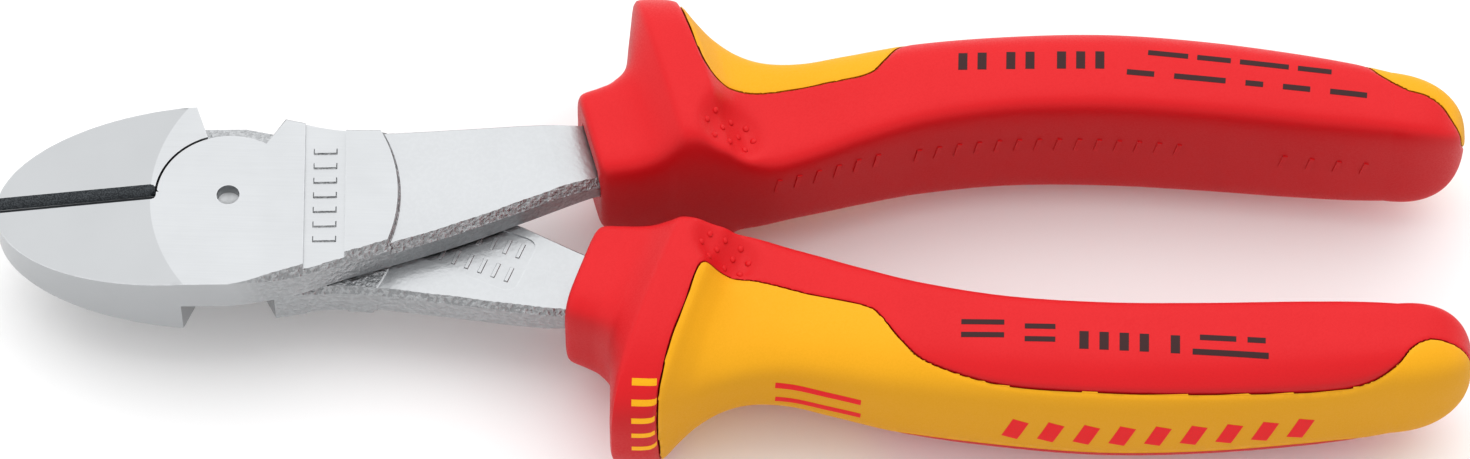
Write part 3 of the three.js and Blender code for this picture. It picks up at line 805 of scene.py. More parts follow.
class Nodes:
    """Short way to add and link the nodes of one tree."""

    def __init__(self, tree):
        self.tree = tree

    def add(self, kind, inputs=(), **settings):
        node = self.tree.nodes.new(kind)
        for name, value in settings.items():
            setattr(node, name, value)
        for key, value in dict(inputs).items():
            self.give(node.inputs[key], value)
        return node

    def give(self, socket, value):
        """Links another socket, or sets a plain value."""
        if isinstance(value, bpy.types.NodeSocket):
            self.tree.links.new(value, socket)
        else:
            socket.default_value = value

    def object_place(self):
        return self.add("ShaderNodeTexCoord").outputs["Object"]

    def attribute(self, name, kind):
        node = self.add("GeometryNodeInputNamedAttribute", {"Name": name}, data_type=kind)
        return node.outputs["Attribute"]

    def math(self, operation, *values, clamp=False):
        node = self.add("ShaderNodeMath", enumerate(values), operation=operation, use_clamp=clamp)
        return node.outputs[0]

    def vector(self, operation, *values):
        node = self.add("ShaderNodeVectorMath", enumerate(values), operation=operation)
        return node.outputs[1 if operation in ("LENGTH", "DOT_PRODUCT") else 0]

    def scaled(self, vector, factor):
        node = self.add("ShaderNodeVectorMath", {0: vector, "Scale": factor}, operation="SCALE")
        return node.outputs[0]

    def z_size(self, vector):
        """The length of a vector's Z part, up or down alike."""
        split = self.add("ShaderNodeSeparateXYZ", {0: vector})
        return self.math("ABSOLUTE", split.outputs["Z"])

    def product(self, *values):
        result = values[0]
        for value in values[1:]:
            result = self.math("MULTIPLY", result, value)
        return result

    def steps(self, value, low, high, start=0.0, end=1.0):
        """Goes smoothly from start to end as the value goes from low to high."""
        node = self.add("ShaderNodeMapRange", {
            "Value": value, "From Min": low, "From Max": high, "To Min": start, "To Max": end,
        }, interpolation_type="SMOOTHSTEP")
        return node.outputs["Result"]

    def noise(self, vector, scale, detail=2.0, roughness=0.5):
        node = self.add("ShaderNodeTexNoise", {
            "Vector": vector, "Scale": scale, "Detail": detail, "Roughness": roughness,
        })
        return node.outputs[0]

    def mix(self, factor, first, second):
        node = self.add("ShaderNodeMix", data_type="RGBA")
        for key, value in ((0, factor), (6, first), (7, second)):
            self.give(node.inputs[key], value)
        return node.outputs[2]


def new_group(name, kind, inputs, outputs):
    """A node group with named sockets; returns the tree, its nodes, its input and its output."""
    tree = bpy.data.node_groups.new(name, kind)
    for socket, socket_type, default in inputs:
        made = tree.interface.new_socket(socket, in_out="INPUT", socket_type=socket_type)
        if default is not None:
            made.default_value = default
    for socket, socket_type in outputs:
        tree.interface.new_socket(socket, in_out="OUTPUT", socket_type=socket_type)
    nodes = Nodes(tree)
    return tree, nodes, nodes.add("NodeGroupInput"), nodes.add("NodeGroupOutput")


def group_once(name, build):
    return bpy.data.node_groups.get(name) or build(name)


def grain_group(name):
    """Fine moulded or cast grain: a height and the same grain as a mask."""
    tree, n, given, out = new_group(
        name, "ShaderNodeTree",
        [("Size", "NodeSocketFloat", 0.0003), ("Detail", "NodeSocketFloat", 2.0)],
        [("Height", "NodeSocketFloat"), ("Mask", "NodeSocketFloat")],
    )
    scale = n.math("DIVIDE", 1.0, given.outputs["Size"])
    height = n.noise(n.object_place(), scale, given.outputs["Detail"], 0.55)
    tree.links.new(height, out.inputs["Height"])
    tree.links.new(n.steps(height, 0.42, 0.62), out.inputs["Mask"])
    return tree


def wear_and_highlight_group(name):
    """Convex edges broken up by noise, to be made brighter and smoother: partly worn edges, partly a painted
    highlight along them.
    """
    tree, n, given, out = new_group(
        name, "ShaderNodeTree",
        [("Radius", "NodeSocketFloat", 0.0004), ("Amount", "NodeSocketFloat", 1.0)],
        [("Wear", "NodeSocketFloat")],
    )
    rounded_normal = n.add("ShaderNodeBevel", {"Radius": given.outputs["Radius"]}, samples=4)
    true_normal = n.add("ShaderNodeNewGeometry").outputs["Normal"]
    agreement = n.vector("DOT_PRODUCT", rounded_normal.outputs[0], true_normal)
    edge = n.steps(agreement, 0.99, 0.8)
    patches = n.steps(n.noise(n.object_place(), 900.0, 3.0), 0.35, 0.65)
    wear_and_highlight = n.math("MULTIPLY", n.product(edge, patches), given.outputs["Amount"], clamp=True)
    tree.links.new(wear_and_highlight, out.inputs["Wear"])
    return tree


def handling_group(name):
    """Faint broad unevenness left by handling and plating."""
    tree, n, given, out = new_group(
        name, "ShaderNodeTree", [("Size", "NodeSocketFloat", 0.01)], [("Cloud", "NodeSocketFloat")],
    )
    scale = n.math("DIVIDE", 1.0, given.outputs["Size"])
    tree.links.new(n.noise(n.object_place(), scale, 3.0, 0.6), out.inputs["Cloud"])
    return tree


def placed(nodes, name, build, inputs=()):
    """One of the shared groups, placed in a material with its own values."""
    node = nodes.add("ShaderNodeGroup", node_tree=group_once(name, build))
    for key, value in dict(inputs).items():
        node.inputs[key].default_value = value
    return node


def new_material(name):
    material = bpy.data.materials.new(f"{name}_finish")
    material.use_nodes = True
    nodes = Nodes(material.node_tree)
    shader = material.node_tree.nodes["Principled BSDF"]
    return material, nodes, shader


def rgba(values, factor=1.0):
    return (*[min(1.0, v * factor) for v in values], 1.0)


def bumped(nodes, shader, height, distance, strength=1.0):
    bump = nodes.add("ShaderNodeBump", {"Strength": strength, "Distance": distance, "Height": height})
    nodes.give(shader.inputs["Normal"], bump.outputs[0])


def tint(n, shader, base, layers):
    """Base Color: the base, then each mask's share of the base times its factor, one over another."""
    colour_here = rgba(base)
    for mask, factor in layers:
        colour_here = n.mix(mask, colour_here, rgba(base, factor))
    n.give(shader.inputs["Base Color"], colour_here)


# ---- finishes --------------------------------------------------------------------------------------

GRINDING_LINES = (110.0, 5200.0, 300.0)  # lines per metre, close together across the tool
RING_PITCH = 0.12 * MM  # fine rings left by turning

def forged_steel(look):
    """Ground faces with fine lines, smooth jaw backs, and forged walls and necks with a pebble grain;
    painted shade on the lap faces and on the jaws' cone faces; edges brightened partly as worn edges, partly
    as a painted highlight.
    """
    material, n, shader = new_material("forged_steel")
    coordinates = n.add("ShaderNodeTexCoord")
    from_pivot = n.vector("SUBTRACT", coordinates.outputs["Object"], tuple(PIVOT))
    split = n.add("ShaderNodeSeparateXYZ", {0: from_pivot})
    lean = n.z_size(coordinates.outputs["Normal"])
    flat = n.steps(lean, 0.86, 0.97)
    wall = n.math("SUBTRACT", 1.0, flat)
    forged = n.steps(split.outputs["X"], 0.5 * MM, 6.0 * MM)
    in_plan = n.vector("MULTIPLY", from_pivot, (1.0, 1.0, 0.0))
    on_neck = n.steps(n.vector("LENGTH", in_plan), (PAD_RADIUS + 0.1) * MM, (PAD_RADIUS + 0.5) * MM)
    on_jaw = n.steps(split.outputs["X"], 4.0 * MM, 0.0)
    on_neck = n.math("MULTIPLY", on_neck, n.math("SUBTRACT", 1.0, on_jaw))
    off_neck = n.math("SUBTRACT", 1.0, on_neck)
    # Painted shade: the level lap faces near the joint are picked out here, then made rougher and coloured
    # darker, standing in for the shade that falls on them under the other lever.
    near_lap = n.steps(n.z_size(from_pivot), 0.6 * MM, 0.4 * MM)
    lap_painted_shade = n.product(near_lap, flat, off_neck)
    neck_mottle_and_lap_shade = n.math("MAXIMUM", n.product(on_neck, 0.08), n.product(lap_painted_shade, 0.6))
    rough_wall = n.product(wall, forged, n.steps(lean, 0.15, 0.5, 0.4, 1.0))
    pebbled_and_lap_shade = n.math("MAXIMUM", rough_wall, neck_mottle_and_lap_shade)
    pebble = placed(n, "cast_grain", grain_group, {"Size": 0.55 * MM, "Detail": 3.0})
    lines_at = n.vector("MULTIPLY", coordinates.outputs["Object"], GRINDING_LINES)
    lines = n.noise(lines_at, 1.0, 3.0, 0.6)
    ground = n.product(flat, off_neck)
    pebble_height = n.product(pebble.outputs["Height"], pebbled_and_lap_shade)
    bumped(n, shader, n.math("ADD", pebble_height, n.product(lines, ground, 0.02)), 0.42 * MM)
    cloud = placed(n, "handling", handling_group, {"Size": 9 * MM})
    # Edge brightening: partly worn edges, partly a painted highlight on the convex edges.
    wear_and_highlight = placed(n, "edge_wear", wear_and_highlight_group, {"Radius": 0.35 * MM, "Amount": 0.8})
    # Darker colour: the pebble-grained forged walls, and the lap faces as painted shade.
    dull_and_lap_shade = n.product(pebbled_and_lap_shade, n.steps(pebble.outputs["Mask"], 0.0, 1.0, 0.75, 0.2))
    streak = n.product(ground, n.steps(lines, 0.3, 0.7, 0.0, 0.12))
    # Painted shade: the jaws' slightly tilted cone faces are coloured darker, standing in for the darker
    # light they catch at their tilt.
    cone_painted_shade = n.product(ground, n.steps(lean, 0.998, 0.993))
    unevenness = n.steps(cloud.outputs["Cloud"], 0.35, 0.75, 0.0, 0.1)
    tint(n, shader, look.steel, (
        (dull_and_lap_shade, 0.5), (streak, 0.7), (cone_painted_shade, 0.84), (unevenness, 0.75), (wear_and_highlight.outputs["Wear"], 1.15),
    ))
    rough = n.steps(pebbled_and_lap_shade, 0.0, 1.0, 0.3, 0.38)
    n.give(shader.inputs["Roughness"], n.math("ADD", rough, n.product(cloud.outputs["Cloud"], 0.08)))
    n.give(shader.inputs["Metallic"], 1.0)
    return material


def groove_steel(look):
    """Cutting bevels coloured near black as painted shade and painted dark reflection, with a fine speckle.
    """
    material, n, shader = new_material("groove_steel")
    grain = placed(n, "cast_grain", grain_group, {"Size": 0.16 * MM, "Detail": 3.0})
    speckle = n.mix(grain.outputs["Mask"], rgba(look.groove, 0.7), rgba(look.groove, 1.9))
    n.give(shader.inputs["Base Color"], speckle)
    bumped(n, shader, grain.outputs["Height"], 0.02 * MM)
    n.give(shader.inputs["Roughness"], n.steps(grain.outputs["Height"], 0.3, 0.7, 0.3, 0.5))
    n.give(shader.inputs["Metallic"], 1.0)
    return material


def turned_steel(look):
    """Turned steel with fine rings about the joint's axis."""
    material, n, shader = new_material("turned_steel")
    from_pivot = n.vector("SUBTRACT", n.object_place(), tuple(PIVOT))
    radius = n.vector("LENGTH", n.vector("MULTIPLY", from_pivot, (1.0, 1.0, 0.0)))
    rings = n.math("SINE", n.product(radius, 2 * math.pi / RING_PITCH))
    cloud = placed(n, "handling", handling_group, {"Size": 2 * MM})
    # Edge brightening: partly worn edges, partly a painted highlight on the turned edges.
    wear_and_highlight = placed(n, "edge_wear", wear_and_highlight_group, {"Radius": 0.25 * MM, "Amount": 0.7})
    unevenness = n.steps(cloud.outputs["Cloud"], 0.3, 0.7, 0.0, 0.3)
    tint(n, shader, look.axle, ((unevenness, 0.7), (wear_and_highlight.outputs["Wear"], 1.3)))
    n.give(shader.inputs["Roughness"], n.steps(cloud.outputs["Cloud"], 0.2, 0.8, 0.28, 0.42))
    bumped(n, shader, rings, 0.004 * MM)
    n.give(shader.inputs["Metallic"], 1.0)
    return material


def moulded(name, base, grain_size, grain_depth, smooth, rough, wear_and_highlight_amount):
    """Moulded plastic: fine grain, faint unevenness, painted shade on the side walls, and polished edges,
    partly worn bright and partly brightened as a painted highlight.
    """
    material, n, shader = new_material(name)
    grain = placed(n, "cast_grain", grain_group, {"Size": grain_size * MM, "Detail": 2.0})
    cloud = placed(n, "handling", handling_group, {"Size": 14 * MM})
    # Edge brightening: partly worn edges, partly a painted highlight on the ridges.
    wear_and_highlight = placed(n, "edge_wear", wear_and_highlight_group, {"Radius": 0.8 * MM, "Amount": wear_and_highlight_amount})
    # Painted shade: walls that face sideways are coloured darker, standing in for the shade they are in.
    painted_wall_shade = n.steps(n.z_size(n.add("ShaderNodeTexCoord").outputs["Normal"]), 0.75, 0.2, 0.0, 0.6)
    tint(n, shader, base, (
        (n.steps(cloud.outputs["Cloud"], 0.3, 0.75, 0.0, 0.16), 0.82),
        (n.product(grain.outputs["Mask"], 0.1), 0.75),
        (painted_wall_shade, 0.6),
        (n.product(wear_and_highlight.outputs["Wear"], 0.3), 1.25),
    ))
    grain_rough = n.steps(grain.outputs["Height"], 0.3, 0.7, smooth, rough)
    uneven_rough = n.math("ADD", grain_rough, n.product(cloud.outputs["Cloud"], 0.1))
    polish = n.product(wear_and_highlight.outputs["Wear"], -0.12)
    n.give(shader.inputs["Roughness"], n.math("ADD", uneven_rough, polish))
    bumped(n, shader, grain.outputs["Height"], grain_depth * MM)
    n.give(shader.inputs["Specular IOR Level"], 0.2)
    return material


def printed(name, base):
    """Thin print with slightly broken coverage."""
    material, n, shader = new_material(name)
    grain = placed(n, "cast_grain", grain_group, {"Size": 0.12 * MM, "Detail": 3.0})
    tint(n, shader, base, ((n.product(grain.outputs["Mask"], 0.25), 1.5),))
    n.give(shader.inputs["Roughness"], n.steps(grain.outputs["Height"], 0.3, 0.7, 0.45, 0.6))
    n.give(shader.inputs["Specular IOR Level"], 0.15)
    return material


FINISHES = {
    "forged_steel": forged_steel,
    "groove_steel": groove_steel,
    "turned_steel": turned_steel,
    "red_grip": lambda look: moulded("red_grip", look.red, 0.22, 0.016, 0.34, 0.5, 0.9),
    "yellow_grip": lambda look: moulded("yellow_grip", look.yellow, 0.2, 0.02, 0.5, 0.66, 0.5),
    "insulation": lambda look: moulded("insulation", look.insulation, 0.3, 0.02, 0.4, 0.55, 0.4),
    "dark_print": lambda look: printed("dark_print", look.ink),
    "red_print": lambda look: printed("red_print", look.red),
    "yellow_print": lambda look: printed("yellow_print", look.yellow),
}


def finish(name):
    """The named finish, made once from the chosen colours."""
    made = bpy.data.materials.get(f"{name}_finish")
    return made or FINISHES[name](bpy.context.scene.pliers_finish)


# ---- geometry nodes: bars and pips that lie on a surface ------------------------------------------------

def surface_hit(n, surface):
    """Raycast onto the surface against each point's facing direction."""
    target = n.add("GeometryNodeObjectInfo", {"Object": surface}, transform_space="RELATIVE")
    facing = n.attribute("facing", "FLOAT_VECTOR")
    position = n.add("GeometryNodeInputPosition").outputs[0]
    origin = n.vector("ADD", position, n.scaled(facing, 4 * MM))
    return n.add("GeometryNodeRaycast", {
        "Target Geometry": target.outputs["Geometry"], "Source Position": origin,
        "Ray Direction": n.scaled(facing, -1.0), "Ray Length": 12 * MM,
    })


def bars_group(name):
    """Flat bars at the given points, laid onto a surface."""
    tree, n, given, out = new_group(
        name, "GeometryNodeTree",
        [
            ("Points", "NodeSocketGeometry", None), ("Surface", "NodeSocketObject", None),
            ("Thickness", "NodeSocketFloat", 0.1 * MM), ("Sink", "NodeSocketFloat", 0.05 * MM),
            ("Taper", "NodeSocketFloat", 0.1), ("Material", "NodeSocketMaterial", None),
        ],
        [("Bars", "NodeSocketGeometry")],
    )
    block = n.add("GeometryNodeMeshCube", {"Vertices X": 14, "Vertices Y": 5, "Vertices Z": 2})
    position = n.add("GeometryNodeInputPosition").outputs[0]
    upper = n.math("GREATER_THAN", n.add("ShaderNodeSeparateXYZ", {0: position}).outputs["Z"], 0.0)
    narrowing = n.product(upper, given.outputs["Taper"], -1.0)
    shift = n.scaled(n.vector("MULTIPLY", position, (0.35, 1.0, 0.0)), narrowing)
    shaped = n.add("GeometryNodeSetPosition", {"Geometry": block.outputs["Mesh"], "Offset": shift})
    lifted = n.add("GeometryNodeStoreNamedAttribute", {
        "Geometry": shaped.outputs[0], "Name": "lift", "Value": upper,
    }, data_type="FLOAT", domain="POINT")
    facing, lengthways, size = (
        n.attribute(key, "FLOAT_VECTOR") for key in ("facing", "lengthways", "size")
    )
    turn = n.add("FunctionNodeAxesToRotation", {0: facing, 1: lengthways},
                 primary_axis="Z", secondary_axis="X")
    copies = n.add("GeometryNodeInstanceOnPoints", {
        "Points": given.outputs["Points"], "Instance": lifted.outputs[0],
        "Rotation": turn.outputs[0], "Scale": size,
    })
    loose = n.add("GeometryNodeRealizeInstances", {0: copies.outputs[0]})
    hit = surface_hit(n, given.outputs["Surface"])
    through = n.math("ADD", given.outputs["Thickness"], given.outputs["Sink"])
    above = n.product(n.attribute("lift", "FLOAT"), through)
    height = n.math("SUBTRACT", above, given.outputs["Sink"])
    target = n.vector("ADD", hit.outputs["Hit Position"], n.scaled(hit.outputs["Hit Normal"], height))
    laid = n.add("GeometryNodeSetPosition", {
        "Geometry": loose.outputs[0], "Selection": hit.outputs["Is Hit"], "Position": target,
    })
    whole = n.add("GeometryNodeRealizeInstances", {0: laid.outputs[0]})
    done = n.add("GeometryNodeSetMaterial", {0: whole.outputs[0], "Material": given.outputs["Material"]})
    tree.links.new(done.outputs[0], out.inputs["Bars"])
    return tree


def pips_group(name):
    """Small domes at the given points, standing on a surface."""
    tree, n, given, out = new_group(
        name, "GeometryNodeTree",
        [
            ("Points", "NodeSocketGeometry", None), ("Surface", "NodeSocketObject", None),
            ("Radius", "NodeSocketFloat", 0.4 * MM), ("Height", "NodeSocketFloat", 0.25 * MM),
            ("Material", "NodeSocketMaterial", None),
        ],
        [("Pips", "NodeSocketGeometry")],
    )
    dome = n.add("GeometryNodeMeshUVSphere", {"Segments": 20, "Rings": 12, "Radius": 1.0})
    dome = n.add("GeometryNodeSetShadeSmooth", {0: dome.outputs["Mesh"]})
    hit = surface_hit(n, given.outputs["Surface"])
    landed = n.add("GeometryNodeSetPosition", {
        "Geometry": given.outputs["Points"], "Position": hit.outputs["Hit Position"],
    })
    upright = n.add("FunctionNodeAlignRotationToVector", {"Vector": hit.outputs["Hit Normal"]}, axis="Z")
    size = n.add("ShaderNodeCombineXYZ", {
        0: given.outputs["Radius"], 1: given.outputs["Radius"], 2: given.outputs["Height"],
    })
    copies = n.add("GeometryNodeInstanceOnPoints", {
        "Points": landed.outputs[0], "Instance": dome.outputs[0],
        "Rotation": upright.outputs[0], "Scale": size.outputs[0],
    })
    whole = n.add("GeometryNodeRealizeInstances", {0: copies.outputs[0]})
    done = n.add("GeometryNodeSetMaterial", {0: whole.outputs[0], "Material": given.outputs["Material"]})
    tree.links.new(done.outputs[0], out.inputs["Pips"])
    return tree


def laid_on(name, side, surface, marks, group, values, finish_name):
    """Runs a node group on a list of marks: place, facing, lengthways, length and width."""
    mesh = bpy.data.meshes.new(name)
    over = Matrix.Diagonal((1, side, side))
    mesh.from_pydata([PIVOT + over @ Vector(place_at) * MM for place_at, *_ in marks], [], [])
    columns = {
        "facing": [over @ Vector(facing).normalized() for _, facing, *_ in marks],
        "lengthways": [over @ Vector(lengthways).normalized() for _, _, lengthways, *_ in marks],
        "size": [Vector((size[0] * MM, size[1] * MM, MM)) for *_, size in marks],
    }
    for key, vectors in columns.items():
        attribute = mesh.attributes.new(key, "FLOAT_VECTOR", "POINT")
        attribute.data.foreach_set("vector", np.array(vectors, float).ravel())
    piece = bpy.data.objects.new(name, mesh)
    bpy.context.scene.collection.objects.link(piece)
    modifier = piece.modifiers.new(name, "NODES")
    modifier.node_group = group
    given = {"Surface": surface, "Material": finish(finish_name), **values}
    for socket in group.interface.items_tree:
        if socket.in_out == "INPUT" and socket.name in given:
            modifier[socket.identifier] = given[socket.name]
    freeze(piece)
    for key in ("facing", "lengthways", "size", "lift"):
        if key in piece.data.attributes:
            piece.data.attributes.remove(piece.data.attributes[key])
    if not piece.data.polygons:
        raise RuntimeError(f"{name} came out empty")
    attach(piece, BODY_OF_SIDE[side])
    return piece


# ---- marks: plain bars and pips, in millimetres on the front lever and its grip ---------------------------

OUTER_FACE = (0, 0, 1)
LAP_FACE = (0, 0, -1)
INNER_WALL = (0, -1, 0)
OUTER_WALL = (0, 1, 0)
PIP_ROWS = ((1.7, (-1.85, 0.0, 1.85)), (0.0, (-2.8, -0.95, 0.95, 2.8)), (-1.7, (-1.85, 0.0, 1.85)))
PIP_CENTRE = (61.0, 9.0)


def band_marks(side):
    """Raised bars across the sunken band."""
    along = (*head_point(1, 0, side), 0)
    middle = (BAND_START + BAND_END) / 2
    return [
        ((*head_point(middle, 2.15 * step, side), HEAD_HALF), OUTER_FACE, along, (3.0, 0.95))
        for step in range(-3, 4)
    ]


def plate_marks():
    """Two rows of raised bars in the sunken plate."""
    centre = np.mean(PLATE_CORNERS, axis=0)
    along = np.subtract(PLATE_CORNERS[2], PLATE_CORNERS[1])
    along /= np.linalg.norm(along)
    across = np.array([-along[1], along[0]])
    marks = []
    for row in (-1.85, 1.85):
        for step in range(-3, 4):
            at = centre + along * 1.75 * step + across * row
            marks.append(((*at, 0), LAP_FACE, (*across, 0), (2.3, 0.6)))
    return marks


def uprights(start, end, places, size, facing, lean=(0, 1, 0)):
    """Upright bars at shares of the way from start to end."""
    start, end = np.array(start, float), np.array(end, float)
    return [(tuple(start + (end - start) * place_at), facing, lean, size) for place_at in places]


def dashes(start, end, lengths, height, facing):
    """Bars end to end along a line, with equal gaps."""
    start, end = np.array(start, float), np.array(end, float)
    reach = np.linalg.norm(end - start)
    run = (end - start) / reach
    gap = (reach - sum(lengths)) / max(1, len(lengths) - 1)
    marks, walked = [], 0.0
    for size in lengths:
        marks.append((tuple(start + run * (walked + size / 2)), facing, tuple(run), (size, height)))
        walked += size + gap
    return marks


def printed_marks():
    """Printed bars on the grip: the first rows on the face turned up, the others on the other face."""
    up, down = OUTER_FACE, LAP_FACE
    shares = (0, 0.14, 0.35, 0.49, 0.72, 0.86, 1)
    marks = uprights((89.2, 20.1, 9), (106.0, 20.6, 9), shares, (2.7, 1.15), up)
    marks += dashes((111.9, 22.0, 9), (134.5, 20.2, 9), (5.0, 4.2, 6.1, 4.2), 0.85, up)
    marks += dashes((109.3, 18.9, 9), (138.8, 16.9, 9), (3.4, 6.4, 2.2, 3.4, 4.6), 0.85, up)
    for y in (18.2, 20.0):
        marks += dashes((89.6, y, -9), (95.0, y, -9), (5.2,), 0.75, down)
        marks += dashes((97.2, y + 0.5, -9), (100.9, y + 0.5, -9), (3.7,), 0.75, down)
    marks += uprights((104.3, 20.5, -9), (115.2, 20.7, -9), (0, 0.22, 0.44, 0.66, 1), (2.5, 1.15), down)
    marks += dashes((118.1, 19.6, -9), (126.0, 19.7, -9), (4.4, 2.2), 0.8, down)
    marks += dashes((117.2, 21.6, -9), (126.9, 21.7, -9), (9.2,), 0.8, down)
    return marks


def side_marks():
    """Slanted bars on the panel's outer side."""
    shares = [step / 8 for step in range(9)]
    marks = uprights((96.5, 27, 0.4), (130.8, 27, 0.8), shares, (4.1, 2.1), OUTER_WALL, (0.33, 0, -1))
    for z in (-1.5, 1.5):
        marks += dashes((67.5, 24, z), (78.5, 24, z + 0.6), (10.5,), 1.1, OUTER_WALL)
    return marks


def crest_marks():
    """Bars round the outer end of the guard's crest."""
    heights = (-8.9, -7.0, -4.6, -2.0, 0.8)
    return [
        ((52.1, 31 - 3.2 * (z / 9) ** 4, z), (0, 1, 1.3 * (z / 12) ** 3), (1, 0, 0), (3.0, 0.85))
        for z in heights
    ]


def wall_marks():
    """Faint moulded bars along the inner wall."""
    rows = (
        ((67.0, 5.5, 2.6), (79.0, 9.3, 2.6), 6), ((84.0, 11.2, 1.6), (116.0, 13.6, 1.0), 14),
        ((129.0, 12.7, 0.4), (139.0, 12.1, 0.0), 4),
    )
    marks = []
    for start, end, count in rows:
        shares = np.linspace(0, 1, count)
        marks += uprights(start, end, shares, (2.4, 0.6), INNER_WALL, (0.2, 0, 1))
    return marks


def pip_marks():
    """Ten pips in each thumb hollow."""
    marks = []
    for facing in (OUTER_FACE, LAP_FACE):
        for y, row in PIP_ROWS:
            for x in row:
                at = (PIP_CENTRE[0] + x, PIP_CENTRE[1] + y, 8 * facing[2])
                marks.append((at, facing, (1, 0, 0), (1, 1)))
    return marks


# ---- operators -----------------------------------------------------------------------------------------

class PLIERS_OT_levers(bpy.types.Operator):
    """Builds the two forged levers with their jaws and tangs"""

    bl_idname = "pliers.levers"
    bl_label = "Forged levers"

    def execute(self, context):
        head = context.scene.pliers_head
        for side in (FRONT, REAR):
            lever = place(lever_solid(side, head), side)
            word = WORD_OF_SIDE[side]
            finish_piece(lever, f"{word}_forging", side,
                         [finish("forged_steel"), finish("groove_steel")], replaces=[f"{word}_lever"],
                         weighted=True)
            mark_groove_faces(lever)
        return {"FINISHED"}


class PLIERS_OT_axle(bpy.types.Operator):
    """Builds the blind axle and the ring round its tail"""

    bl_idname = "pliers.axle"
    bl_label = "Axle and ring"

    def execute(self, context):
        hole = context.scene.pliers_head.hole_radius / MM
        front = HEAD_HALF - AXLE_SINK
        step = -HEAD_HALF + RING_THICKNESS + 0.1
        ring_low, ring_high = -HEAD_HALF + 0.05, -HEAD_HALF + RING_THICKNESS
        bore = AXLE_TAIL_RADIUS + 0.05
        axle = turned("axle", [
            (0.3, AXLE_CENTRE_DEPTH - HEAD_HALF - 0.4), (hole, AXLE_CENTRE_DEPTH - HEAD_HALF),
            (hole, -HEAD_HALF + 0.2), (hole + 0.2, -HEAD_HALF), (AXLE_TAIL_RADIUS - 0.25, -HEAD_HALF),
            (AXLE_TAIL_RADIUS, -HEAD_HALF + 0.25), (AXLE_TAIL_RADIUS, step), (AXLE_RADIUS - 0.1, step),
            (AXLE_RADIUS, step + 0.1), (AXLE_RADIUS, front - 0.3), (AXLE_RADIUS - 0.3, front),
            (hole * 0.6, front), (hole * 0.45, front - 0.1),
        ])
        ring = turned("ring", [
            (bore, ring_low + 0.12), (bore + 0.12, ring_low), (RING_RADIUS - 0.35, ring_low),
            (RING_RADIUS, ring_low + 0.35), (RING_RADIUS, ring_high), (bore, ring_high),
        ], joined_ends=True)
        for piece, name, node in ((axle, "axle_turned", "joint_axle"), (ring, "ring_turned", "axle_ring")):
            place(piece, FRONT)
            finish_piece(piece, name, FRONT, [finish("turned_steel")], replaces=[node])
        return {"FINISHED"}


class PLIERS_OT_head_bars(bpy.types.Operator):
    """Lays raised bars on the sunken bands and plates of the levers"""

    bl_idname = "pliers.head_bars"
    bl_label = "Raised bars on the steel"

    def execute(self, context):
        raised = context.scene.pliers_head.mark_raise
        group = group_once("bars_on_surface", bars_group)
        for side in (FRONT, REAR):
            word = WORD_OF_SIDE[side]
            lever = bpy.data.objects[f"{word}_forging"]
            rows = (("band_bars", band_marks(side), 1.0), ("plate_bars", plate_marks(), 0.6))
            for name, marks, share in rows:
                laid_on(f"{word}_{name}", side, lever, marks, group,
                        {"Thickness": raised * share, "Taper": 0.35}, "forged_steel")
        return {"FINISHED"}


class PLIERS_OT_grips(bpy.types.Operator):
    """Builds the red sleeves and the soft yellow panels"""

    bl_idname = "pliers.grips"
    bl_label = "Grip sleeves and panels"

    def execute(self, context):
        scene = context.scene
        sleeve, panel = grip_layers(scene.pliers_grip, scene.pliers_head)
        for layer, kind, node, slot in (
            (sleeve, "red_sleeve", "outer_sleeve", "red_grip"),
            (panel, "yellow_panel", "soft_panel", "yellow_grip"),
        ):
            turned_layer = bpy.data.objects.new(kind, layer.data.copy())
            scene.collection.objects.link(turned_layer)
            for side, piece in ((FRONT, layer), (REAR, turned_layer)):
                word = WORD_OF_SIDE[side]
                place(piece, side)
                finish_piece(piece, f"{word}_{kind}", side, [finish(slot)],
                             replaces=[f"{word}_grip_{node}"])
        return {"FINISHED"}


class PLIERS_OT_inner_sleeves(bpy.types.Operator):
    """Gives the inner insulating layers their finish"""

    bl_idname = "pliers.inner_sleeves"
    bl_label = "Inner sleeves"

    def execute(self, context):
        for word in WORD_OF_SIDE.values():
            node = frame["nodes"][f"{word}_grip_inner_sleeve"]
            if not node.material_slots:
                raise RuntimeError(f"{node.name} has no place for its finish")
            for slot in node.material_slots:
                slot.material = finish("insulation")
        return {"FINISHED"}


class PLIERS_OT_pips(bpy.types.Operator):
    """Sets the pips into the thumb hollows"""

    bl_idname = "pliers.pips"
    bl_label = "Thumb pips"

    def execute(self, context):
        grip = context.scene.pliers_grip
        group = group_once("pips_on_surface", pips_group)
        for side in (FRONT, REAR):
            word = WORD_OF_SIDE[side]
            pips = laid_on(f"{word}_thumb_pips", side, bpy.data.objects[f"{word}_red_sleeve"], pip_marks(),
                           group, {"Radius": grip.pip_radius, "Height": grip.pip_height},
                           "red_grip")
            pips.data.shade_smooth()
        return {"FINISHED"}


